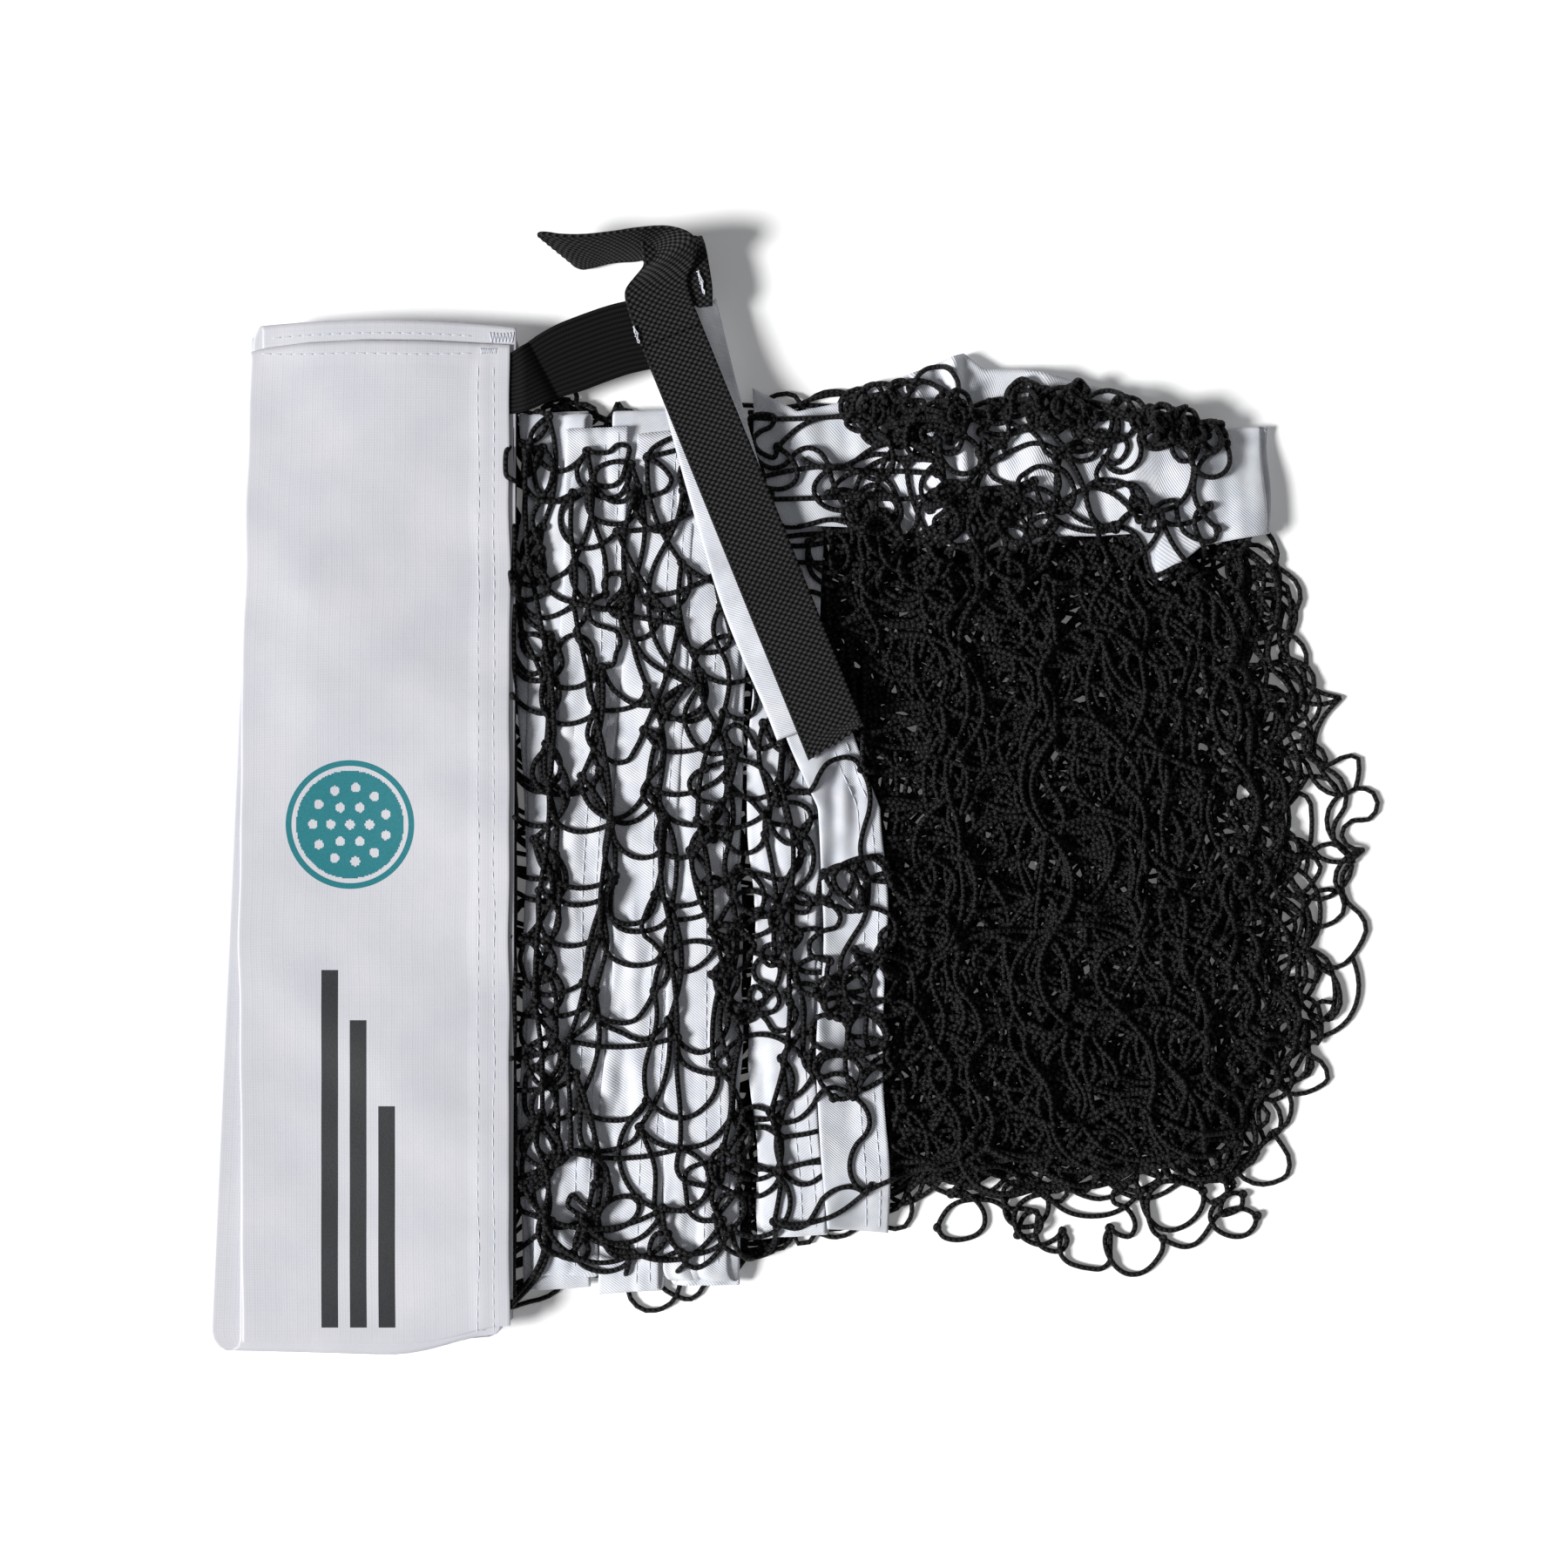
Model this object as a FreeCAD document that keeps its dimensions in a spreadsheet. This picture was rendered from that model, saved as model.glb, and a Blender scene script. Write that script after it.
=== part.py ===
"""A portable pickleball net, folded up for storage: headband, netting, tapes and straps.

The net is 6.7 m long, folded in half four times, so sixteen leaves lie on each other.
Each leaf runs from the headband at -X, through the netting, to a turn at +X and back to
the bottom tape. Millimetres, +Z up. The origin is under the middle of the bundle.
"""
import FreeCAD, Part
import math
import os

import Sketcher
from FreeCAD import Placement, Rotation, Vector

LEAVES = 16          # leaves in the bundle: sixteen after four foldings in half
SHEET = "dims"       # the spreadsheet's name in expressions

# Driving dimensions, in millimetres and degrees.
DIMENSIONS = {
    "leaf_span": 418,             # headband leaf, fold to fold, along Y
    "leaf_across": 111,           # headband's height once sewn down, across X
    "leaf_thick": 0.8,            # two plies of coated fabric
    "leaf_pitch": 1.15,           # rise from one leaf to the next
    "leaf_corner": 6,
    "leaf_middle_x": -178.5,
    "leaf_middle_y": -24.5,
    "tape_across": 32,            # bottom tape, folded over the netting's edge
    "tape_thick": 1.2,
    "tape_pitch": 1.5,
    "tape_corner": 2,
    "tape_column_step": 33,       # the leaves' bottom tapes fan out in columns
    "tape_first_x": -104,
    "tape_bottom_z": 8.3,
    "netting_low_high": 8,        # netting beside the headband, under the tapes
    "netting_low_across": 162,
    "netting_low_along": 362,
    "netting_low_x": -40,
    "netting_low_y": -30,
    "netting_high_high": 34,      # netting gathered at the turns
    "netting_high_across": 206,
    "netting_high_along": 290,
    "netting_high_x": 146,
    "netting_high_y": -45,
    "netting_top_high": 26,       # netting under the side tape
    "netting_top_across": 176,
    "netting_top_along": 72,
    "netting_top_x": 131,
    "netting_top_y": 136.5,
    "netting_corner": 30,
    "netting_edge": 8,
    "layer_gap": 0.4,             # air between the end leaf and the stack under it
    "layer_thick": 2.6,           # one leaf of netting, pressed flat
    "layer_inset": 3,
    "stack_tape_span": 140,       # the other net end's side tape, under the end leaf's netting
    "side_tape_across": 50,
    "side_tape_start_x": -18,
    "side_tape_step_x": 22,
    "side_tape_end_x": 190,
    "side_tape_low_z": 17.8,
    "side_tape_high_z": 30.8,
    "side_tape_ramp": 20,
    "side_tape_middle_y": 133,
    "end_tape_span": 196,
    "end_tape_x": 25,
    "end_tape_y": -92,
    "webbing_across": 29,
    "webbing_thick": 1.6,
    "webbing_span": 200,
    "webbing_foot_x": 13,
    "webbing_foot_y": 14,
    "webbing_under_z": 20.6,
    "webbing_lean": 22,           # degrees from +Y towards -X
    "backing_across": 32,
    "backing_thick": 1.1,
    "backing_span": 190,
    "backing_start": 4,           # how far past the strap's foot the tape's straight part starts
    "backing_lean": 16,
    "tail_tall": 30,
    "tail_thick": 1.6,
    "tail_foot_z": 1,
    "tail_radius": 13,
    "tail_leg": 13,               # from the strap's end to the turn
    "tail_turn_x": -61,
    "tail_turn_y": 219.7,
    "tail_tip_x": -115,
    "elastic_across": 30,
    "elastic_thick": 1.4,
    "elastic_span": 74,
    "elastic_under_z": 16.3,
    "elastic_lean": 16,
    "elastic_x": -80.2,
    "elastic_y": 180,
    "thread_across": 0.7,
    "thread_high": 0.3,
    "seam_gauge": 6.5,            # between the two rows of the headband's seam
    "seam_margin": 7,             # from the seam edge to the nearer row
    "hem_margin": 3,
    "print_high": 0.1,
    "roundel_radius": 27,
    "roundel_x": -190,
    "roundel_y": -16,
    "bar_across": 7,
    "bar_span": 150,
    "bar_step": 12,
    "bars_x": -202,
    "bars_y": -152,
}

# What each lower headband leaf is off by: (across, along, degrees), from the bottom up.
LEAF_OFFSETS = [
    (1.0, 0.5, 0.2), (-0.5, 2.0, -0.3), (0.5, 0.5, 0.2), (-1.5, 1.5, 0.0), (0.0, 1.0, 0.3),
    (1.0, 2.5, -0.2), (-1.0, 1.0, 0.4), (0.5, 1.5, -0.4), (-2.0, 3.0, 0.0), (0.0, 1.0, 0.3),
    (-1.0, 1.5, -0.3), (1.0, 3.0, 0.2), (-9.7, 2.0, -1.5), (-1.5, 1.0, -0.3), (2.0, 10.0, -0.2),
]
# Where each column of bottom tapes lies: (number of leaves, span, middle along Y).
TAPE_COLUMNS = [(4, 366, -28), (4, 372, -29), (4, 352, -33), (3, 316, -32)]

doc = FreeCAD.newDocument("portable_net")
sheet = doc.addObject("Spreadsheet::Sheet", SHEET)
for row, (alias, value) in enumerate(DIMENSIONS.items(), start=1):
    sheet.set(f"A{row}", alias)
    sheet.set(f"B{row}", str(value))
    sheet.setAlias(f"B{row}", alias)
doc.recompute()

node_objects = {}


def cell(alias):
    """The number in one of the sheet's cells."""
    return float(sheet.get(alias))


def keep(obj, label):
    """Names a finished sub-part, which is then exported."""
    obj.Label = label
    node_objects[label] = obj
    return obj


def place(obj, base, lean=0.0):
    """Binds a sub-part's place to expressions for x, y and z, turned about +Z by lean degrees."""
    obj.Placement = Placement(Vector(), Rotation(Vector(0, 0, 1), lean))
    for axis, expression in zip("xyz", base):
        obj.setExpression(f"Placement.Base.{axis}", expression)


def of(alias):
    """A cell's name as an expression writes it."""
    return f"{SHEET}.{alias}"


END_LEAF_TOP = f"{LEAVES - 1} * {of('leaf_pitch')} + {of('leaf_thick')}"


def sketch_in(body, role):
    """A sketch on one of the body's own origin planes."""
    sketch = body.newObject("Sketcher::SketchObject", f"{body.Name}_outline")
    plane = next(f for f in body.Origin.OriginFeatures if f.Role == role)
    sketch.AttachmentSupport = (plane, [""])
    sketch.MapMode = "FlatFace"
    return sketch


def draw_rectangle(sketch, across, along):
    """A rectangle centred on the sketch's origin, its two spans bound to expressions."""
    corners = [Vector(-1, -1), Vector(1, -1), Vector(1, 1), Vector(-1, 1)]
    for i in range(4):
        sketch.addGeometry(Part.LineSegment(corners[i], corners[(i + 1) % 4]), False)
    for i in range(4):
        sketch.addConstraint(Sketcher.Constraint("Coincident", i, 2, (i + 1) % 4, 1))
    for i, direction in enumerate(["Horizontal", "Vertical", "Horizontal", "Vertical"]):
        sketch.addConstraint(Sketcher.Constraint(direction, i))
    sketch.addConstraint(Sketcher.Constraint("Symmetric", 0, 1, 2, 1, -1, 1))
    for edge, kind, expression in ((0, "DistanceX", across), (1, "DistanceY", along)):
        index = sketch.addConstraint(Sketcher.Constraint(kind, edge, 1, edge, 2, 2.0))
        sketch.renameConstraint(index, kind)
        sketch.setExpression(f"Constraints.{kind}", expression)


def pad(body, sketch, length):
    """Pads a sketch by an expression and returns the feature."""
    feature = body.newObject("PartDesign::Pad", f"{body.Name}_pad")
    feature.Profile = sketch
    feature.setExpression("Length", length)
    sketch.Visibility = False
    doc.recompute()
    return feature


def round_edges(body, feature, radius, wanted):
    """Fillets the edges of a feature for which wanted(edge) holds."""
    names = [f"Edge{i}" for i, edge in enumerate(feature.Shape.Edges, start=1) if wanted(edge)]
    fillet = body.newObject("PartDesign::Fillet", f"{body.Name}_fillet_{len(body.Group)}")
    fillet.Base = (feature, names)
    fillet.setExpression("Radius", radius)
    doc.recompute()
    return fillet


def upright(edge):
    """True of a straight edge along Z."""
    return abs(edge.BoundBox.ZLength) > 1e-6 and edge.BoundBox.DiagonalLength == edge.BoundBox.ZLength


def flat_piece(label, across, along, thick, corner, base, lean=0.0):
    """A flat rectangular piece of cloth with rounded corners, as a padded sketch."""
    body = doc.addObject("PartDesign::Body", label)
    sketch = sketch_in(body, "XY_Plane")
    draw_rectangle(sketch, across, along)
    feature = pad(body, sketch, thick)
    round_edges(body, feature, corner, upright)
    place(body, base, lean)
    return keep(body, label)


def netting_mass(label, across, along, high, base):
    """A bundle of netting as one soft block: rounded corners and a rounded top edge."""
    body = doc.addObject("PartDesign::Body", label)
    sketch = sketch_in(body, "XY_Plane")
    draw_rectangle(sketch, across, along)
    feature = pad(body, sketch, high)
    feature = round_edges(body, feature, of("netting_corner"), upright)
    top = feature.Shape.BoundBox.ZMax
    edge_radius = f"min({of('netting_edge')}; ({high}) / 2.5)"
    round_edges(body, feature, edge_radius, lambda edge: edge.BoundBox.ZMin > top - 1e-6)
    place(body, base)
    return keep(body, label)


def bent_strip(label, profile, thick, across, base):
    """A strip bent in the XZ plane along the points of profile, padded across Y."""
    body = doc.addObject("PartDesign::Body", label)
    sketch = sketch_in(body, "XZ_Plane")
    upper = [point + Vector(0, thick) for point in reversed(profile)]
    outline = profile + upper
    for i, start in enumerate(outline):
        sketch.addGeometry(Part.LineSegment(start, outline[(i + 1) % len(outline)]), False)
    feature = pad(body, sketch, across)
    feature.Midplane = True
    place(body, base)
    return keep(body, label)


def headband():
    """The headband: fifteen leaves in the stack, and the end leaf that lies on top."""
    for i, (across, along, lean) in enumerate(LEAF_OFFSETS):
        flat_piece(
            f"headband_leaf_{i + 1:02d}", of("leaf_across"), of("leaf_span"), of("leaf_thick"),
            of("leaf_corner"),
            (f"{of('leaf_middle_x')} + {across}", f"{of('leaf_middle_y')} + {along}",
             f"{i} * {of('leaf_pitch')}"), lean)
    flat_piece(
        "headband_end_leaf", of("leaf_across"), of("leaf_span"), of("leaf_thick"), of("leaf_corner"),
        (of("leaf_middle_x"), of("leaf_middle_y"), f"{LEAVES - 1} * {of('leaf_pitch')}"))


def thread_row(label, across, along, base):
    """One row of lockstitch, as the thin line of thread that stands on the cloth."""
    box = doc.addObject("Part::Box", label)
    box.setExpression("Length", across)
    box.setExpression("Width", along)
    box.setExpression("Height", of("thread_high"))
    place(box, base)
    return keep(box, label)


def headband_threads():
    """The two rows of the seam that holds the netting, the end hem's row and its bar tack."""
    edge = f"({of('leaf_middle_x')} + {of('leaf_across')} / 2 - {of('seam_margin')})"
    low_y = f"{of('leaf_middle_y')} - {of('leaf_span')} / 2 + {of('leaf_corner')}"
    row_span = f"{of('leaf_span')} - 2 * {of('leaf_corner')}"
    thread_row("seam_thread_inner", of("thread_across"), row_span,
               (f"{edge} - {of('seam_gauge')}", low_y, END_LEAF_TOP))
    thread_row("seam_thread_outer", of("thread_across"), row_span, (edge, low_y, END_LEAF_TOP))
    top_y = f"{of('leaf_middle_y')} + {of('leaf_span')} / 2 - {of('hem_margin')}"
    thread_row("hem_thread", f"{of('leaf_across')} - 4 * {of('leaf_corner')}", of("thread_across"),
               (f"{of('leaf_middle_x')} - {of('leaf_across')} / 2 + {of('leaf_corner')}", top_y,
                END_LEAF_TOP))
    thread_row("hem_bar_tack", of("seam_gauge"), f"{of('hem_margin')} / 2",
               (f"{edge} - {of('seam_gauge')} + 2 * {of('thread_across')}",
                f"{top_y} + {of('thread_across')} * 1.5", END_LEAF_TOP))


def prints():
    """The printed marks on the end leaf: a plain disc and three plain bars."""
    disc = doc.addObject("Part::Cylinder", "print_roundel")
    disc.setExpression("Radius", of("roundel_radius"))
    disc.setExpression("Height", of("print_high"))
    place(disc, (of("roundel_x"), of("roundel_y"), END_LEAF_TOP))
    keep(disc, "print_roundel")
    bars = []
    for i in range(3):
        bar = doc.addObject("Part::Box", f"print_bar_{i + 1}")
        bar.setExpression("Length", of("bar_across"))
        bar.setExpression("Width", of("bar_span"))
        bar.setExpression("Height", of("print_high"))
        place(bar, (f"{of('bars_x')} + {i} * {of('bar_step')}",
                    f"{of('bars_y')} - {of('bar_span')} / 2", END_LEAF_TOP))
        bars.append(bar)
    group = doc.addObject("Part::Compound", "print_bars")
    group.Links = bars
    keep(group, "print_bars")


def netting():
    """The netting: three masses in the stack, and the end leaf's own layer over each."""
    netting_mass("netting_beside_headband", of("netting_low_across"), of("netting_low_along"),
                 of("netting_low_high"), (of("netting_low_x"), of("netting_low_y"), "0"))
    netting_mass("netting_at_turns", of("netting_high_across"), of("netting_high_along"),
                 of("netting_high_high"), (of("netting_high_x"), of("netting_high_y"), "0"))
    netting_mass("netting_under_side_tape", of("netting_top_across"), of("netting_top_along"),
                 of("netting_top_high"), (of("netting_top_x"), of("netting_top_y"), "0"))
    tapes_top = f"{of('tape_bottom_z')} + 4 * {of('tape_pitch')} + {of('tape_thick')}"
    inset = f"2 * {of('layer_inset')}"
    for label, part, under in (
        ("end_netting_beside_headband", "netting_low", f"{tapes_top} + {of('layer_gap')}"),
        ("end_netting_at_turns", "netting_high",
         f"{of('netting_high_high')} + {of('layer_gap')}"),
        ("end_netting_under_side_tape", "netting_top",
         f"{of('netting_top_high')} + {of('tape_thick')} + {of('layer_gap')}"),
    ):
        thick = of("layer_thick")
        if part == "netting_low":
            thick = f"{of('layer_thick')} - {of('leaf_thick')}"
        netting_mass(label, f"{of(part + '_across')} - {inset}", f"{of(part + '_along')} - {inset}",
                     thick, (of(part + "_x"), of(part + "_y"), under))


def bottom_tapes():
    """The bottom tape: the stack's leaves in four fanned columns, and the end leaf's."""
    number = 0
    for column, (leaves, span, middle_y) in enumerate(TAPE_COLUMNS):
        for level in range(leaves):
            number += 1
            flat_piece(
                f"bottom_tape_leaf_{number:02d}", of("tape_across"), str(span - 3 * level),
                of("tape_thick"), of("tape_corner"),
                (f"{of('tape_first_x')} + {column} * {of('tape_column_step')}", str(middle_y),
                 f"{of('tape_bottom_z')} + {level} * {of('tape_pitch')}"))
    flat_piece("end_bottom_tape", of("tape_across"), of("end_tape_span"), of("tape_thick"),
               of("tape_corner"),
               (of("end_tape_x"), of("end_tape_y"),
                f"{of('tape_bottom_z')} + 4 * {of('tape_pitch')}"))


def side_tapes():
    """The tapes that bind the net's two ends: one over the netting, one under the end leaf."""
    flat_piece("stack_side_tape", of("stack_tape_span"), of("side_tape_across"), of("tape_thick"),
               of("tape_corner"),
               (of("netting_top_x"), of("side_tape_middle_y"), of("netting_top_high")))
    profile = [
        Vector(cell("side_tape_start_x"), cell("side_tape_low_z")),
        Vector(cell("side_tape_step_x"), cell("side_tape_low_z")),
        Vector(cell("side_tape_step_x") + cell("side_tape_ramp"), cell("side_tape_high_z")),
        Vector(cell("side_tape_end_x"), cell("side_tape_high_z")),
    ]
    bent_strip("end_side_tape", profile, cell("tape_thick"), of("side_tape_across"),
               ("0", of("side_tape_middle_y"), "0"))


def strap_middle(start, span, lean):
    """The x and y expressions of the middle of a piece that leans and starts past the foot."""
    reach = f"({start} + {of(span)} / 2)"
    return (f"{of('webbing_foot_x')} - {reach} * sin({of(lean)})",
            f"{of('webbing_foot_y')} + {reach} * cos({of(lean)})")


def corner_strap():
    """The hook-and-loop strap on the net's corner, and the tape end it is sewn to."""
    x, y = strap_middle("0", "webbing_span", "webbing_lean")
    flat_piece("corner_strap_webbing", of("webbing_across"), of("webbing_span"),
               of("webbing_thick"), of("thread_across"), (x, y, of("webbing_under_z")),
               cell("webbing_lean"))
    x, y = strap_middle(of("backing_start"), "backing_span", "backing_lean")
    flat_piece("corner_strap_backing", of("backing_across"), of("backing_span"),
               of("backing_thick"), of("thread_across"),
               (x, y, f"{of('webbing_under_z')} - {of('backing_thick')}"), cell("backing_lean"))
    thread_row("corner_strap_thread", f"{of('webbing_across')} * 0.7", of("thread_across"),
               (f"{of('webbing_foot_x')} - {of('webbing_across')} * 0.4",
                f"{of('webbing_foot_y')} + {of('webbing_across')} / 2",
                f"{of('webbing_under_z')} + {of('webbing_thick')}"))


def strap_tail():
    """The strap's free end, which turns onto its edge and doubles back along -X."""
    radius, half, leg = cell("tail_radius"), cell("tail_thick") / 2, cell("tail_leg")
    tip_x = cell("tail_tip_x") - cell("tail_turn_x")
    body = doc.addObject("PartDesign::Body", "corner_strap_tail")
    sketch = sketch_in(body, "XY_Plane")
    outer, inner = radius + half, radius - half
    for size in (outer, inner):
        circle = Part.Circle(Vector(), Vector(0, 0, 1), size)
        sketch.addGeometry(Part.ArcOfCircle(circle, 0.0, math.pi / 2), False)
    for start, end in (
        (Vector(inner, 0), Vector(inner, -leg)),
        (Vector(inner, -leg), Vector(outer, -leg)),
        (Vector(outer, -leg), Vector(outer, 0)),
        (Vector(0, outer), Vector(tip_x, outer)),
        (Vector(tip_x, outer), Vector(tip_x, inner)),
        (Vector(tip_x, inner), Vector(0, inner)),
    ):
        sketch.addGeometry(Part.LineSegment(start, end), False)
    pad(body, sketch, of("tail_tall"))
    place(body, (of("tail_turn_x"), of("tail_turn_y"), of("tail_foot_z")))
    keep(body, "corner_strap_tail")


def elastic():
    """The ribbed elastic band sewn into the headband's end."""
    flat_piece("elastic_band", of("elastic_span"), of("elastic_across"), of("elastic_thick"),
               of("thread_across"), (of("elastic_x"), of("elastic_y"), of("elastic_under_z")),
               cell("elastic_lean"))


def check_document():
    """Stops if any object failed, or if a sub-part's shape is missing or not valid."""
    doc.recompute()
    for obj in doc.Objects:
        if "Invalid" in obj.State or "Error" in obj.State:
            raise RuntimeError(f"{obj.Name} failed: {obj.State}")
    for label, obj in node_objects.items():
        if obj.Shape.isNull() or not obj.Shape.isValid() or not obj.Shape.Solids:
            raise RuntimeError(f"{label} has no valid solid")


def export_nodes():
    """Writes one STEP file for each sub-part."""
    os.makedirs("parts", exist_ok=True)
    for label, obj in node_objects.items():
        obj.Shape.exportStep(f"parts/{label}.step")


headband()
headband_threads()
prints()
netting()
bottom_tapes()
side_tapes()
corner_strap()
strap_tail()
elastic()
check_document()
export_nodes()

whole = Part.Compound([obj.Shape for obj in node_objects.values()]).BoundBox
print(len(node_objects), "nodes,", "x", round(whole.XMin, 2), round(whole.XMax, 2),
      "y", round(whole.YMin, 2), round(whole.YMax, 2), "z", round(whole.ZMin, 2), round(whole.ZMax, 2))
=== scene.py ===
"""A portable pickleball net, folded for storage: its cloth, cord, straps and stitching.

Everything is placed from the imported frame. Metres, +Z up, the bundle rests on z = 0.
The netting is laid leaf by leaf: each sheet of cords relaxes to its real length on top of
what already lies there, so that the pile has the crossings and the height of real cord.
"""
import math

import bpy
import numpy as np
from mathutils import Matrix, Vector


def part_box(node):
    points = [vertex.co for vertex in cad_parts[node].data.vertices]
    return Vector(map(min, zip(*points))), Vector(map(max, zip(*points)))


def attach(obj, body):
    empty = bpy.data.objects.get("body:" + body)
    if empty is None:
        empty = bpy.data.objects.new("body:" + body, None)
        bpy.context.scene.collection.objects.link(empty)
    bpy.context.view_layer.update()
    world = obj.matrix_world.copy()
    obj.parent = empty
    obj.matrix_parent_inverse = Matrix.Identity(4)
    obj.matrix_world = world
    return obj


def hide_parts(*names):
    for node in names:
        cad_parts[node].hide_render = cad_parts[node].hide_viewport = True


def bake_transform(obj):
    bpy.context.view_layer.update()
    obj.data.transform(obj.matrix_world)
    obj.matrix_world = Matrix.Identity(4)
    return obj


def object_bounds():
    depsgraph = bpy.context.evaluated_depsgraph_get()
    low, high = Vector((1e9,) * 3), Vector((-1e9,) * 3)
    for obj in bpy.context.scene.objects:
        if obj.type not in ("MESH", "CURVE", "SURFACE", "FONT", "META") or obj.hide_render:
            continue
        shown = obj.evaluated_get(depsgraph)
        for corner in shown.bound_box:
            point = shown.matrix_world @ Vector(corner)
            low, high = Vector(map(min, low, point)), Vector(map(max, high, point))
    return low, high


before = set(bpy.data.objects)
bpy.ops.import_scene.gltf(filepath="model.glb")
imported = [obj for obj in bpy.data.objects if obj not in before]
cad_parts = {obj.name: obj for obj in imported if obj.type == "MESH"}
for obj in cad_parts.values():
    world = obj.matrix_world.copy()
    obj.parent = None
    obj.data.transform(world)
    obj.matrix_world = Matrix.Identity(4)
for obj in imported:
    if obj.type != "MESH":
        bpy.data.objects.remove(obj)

CAD_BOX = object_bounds()
MM = 0.001

MESH_BAR = 49 * MM            # knot to knot
CORD_RADIUS = 1.12 * MM
LAST_COLUMN = 16              # rows of squares across the net's height
TURN = 11                     # the first column past the turn
STACK_LEAVES = 15             # leaves under the end leaf
END_LEAF = STACK_LEAVES + 1
DEEP_LEAVES = 13              # leaves whose netting lies wholly under the bottom tapes
FOOT_OF_EDGE = -214 * MM      # where the netting's edge cord ends along the headband
THREAD_RADIUS = 0.22 * MM
STITCH_PITCH, HEM_PITCH, TAPE_PITCH, FOOT_PITCH = 5.5 * MM, 4.2 * MM, 5.2 * MM, 3.6 * MM
BAND_THICK, TAPE_THICK, WEB_THICK = 0.8 * MM, 0.75 * MM, 1.3 * MM
TAPE_WIDTH = 29 * MM          # the bottom tape
BACKING_WIDTH = 32 * MM       # the white tape under the strap
ELASTIC_WIDTH = 30 * MM
STRAP_WIDTH, STRAP_HALF = 27 * MM, 100 * MM
RIB_PITCH = 2.1 * MM          # the elastic's ribs
PICK_ACROSS, PICK_ALONG = 3.1 * MM, 2.5 * MM          # the webbing's raised picks


# ---------------------------------------------------------------- numbers from the frame

def low_high(node):
    """A CAD node's lowest and highest corners, as arrays."""
    low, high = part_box(node)
    return np.array(low), np.array(high)


LEAF_LOW, LEAF_HIGH = low_high("headband_end_leaf")
MASS_LOW, MASS_HIGH = low_high("netting_at_turns")
UPPER_HIGH = low_high("netting_under_side_tape")[1]
BESIDE_LOW, BESIDE_HIGH = low_high("netting_beside_headband")
SEAM_X = LEAF_HIGH[0]


# ---------------------------------------------------------------- small mathematics

def smooth(low, high, value):
    """0 below low, 1 above high, and a smooth step between."""
    t = np.clip((value - low) / (high - low), 0, 1)
    return t * t * (3 - 2 * t)


def unit(vectors):
    """Vectors along the last axis, made one long."""
    return vectors / np.maximum(np.linalg.norm(vectors, axis=-1, keepdims=True), 1e-12)


class Ripples:
    """Smooth random waves over a plane, the same for the same seed."""

    def __init__(self, seed, shortest, longest, stretch=(1.0, 1.0), waves=7):
        draw = np.random.default_rng(seed)
        turn = draw.uniform(0, 2 * np.pi, waves)
        number = 2 * np.pi / np.exp(draw.uniform(np.log(shortest), np.log(longest), waves))
        self.kx = number * np.cos(turn) / stretch[0]
        self.ky = number * np.sin(turn) / stretch[1]
        self.phase = draw.uniform(0, 2 * np.pi, waves)
        self.size = (shortest / longest) ** 0.3 * np.sqrt(2 / waves)

    def __call__(self, x, y):
        x, y = np.asarray(x, float)[..., None], np.asarray(y, float)[..., None]
        return self.size * np.sin(self.kx * x + self.ky * y + self.phase).sum(-1)


def resample(lines, per):
    """Catmull-Rom curves through (line, point, xyz), with per pieces to each span."""
    first = 2 * lines[:, :1] - lines[:, 1:2]
    last = 2 * lines[:, -1:] - lines[:, -2:-1]
    p = np.concatenate([first, lines, last], axis=1)
    a, b, c, d = p[:, :-3, None], p[:, 1:-2, None], p[:, 2:-1, None], p[:, 3:, None]
    t = (np.arange(per) / per)[None, None, :, None]
    spans = 0.5 * (2 * b + (c - a) * t + (2 * a - 5 * b + 4 * c - d) * t ** 2
                   + (3 * b - a - 3 * c + d) * t ** 3)
    return np.concatenate([spans.reshape(len(lines), -1, 3), lines[:, -1:]], axis=1)


def lengths_along(line):
    """The length so far at each point of a line (point, xyz)."""
    return np.concatenate([[0], np.cumsum(np.linalg.norm(np.diff(line, axis=0), axis=1))])


def read_at(where, lengths, values):
    """The values (point, n) of a line at other lengths along it."""
    return np.stack([np.interp(where, lengths, column) for column in values.T], -1)


def to_the_right(path):
    """Unit vectors square to a plan path (n, 2), on its right side."""
    tangent = unit(np.gradient(path, axis=0))
    return np.stack([tangent[:, 1], -tangent[:, 0]], -1)


# ---------------------------------------------------------------- meshes

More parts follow.
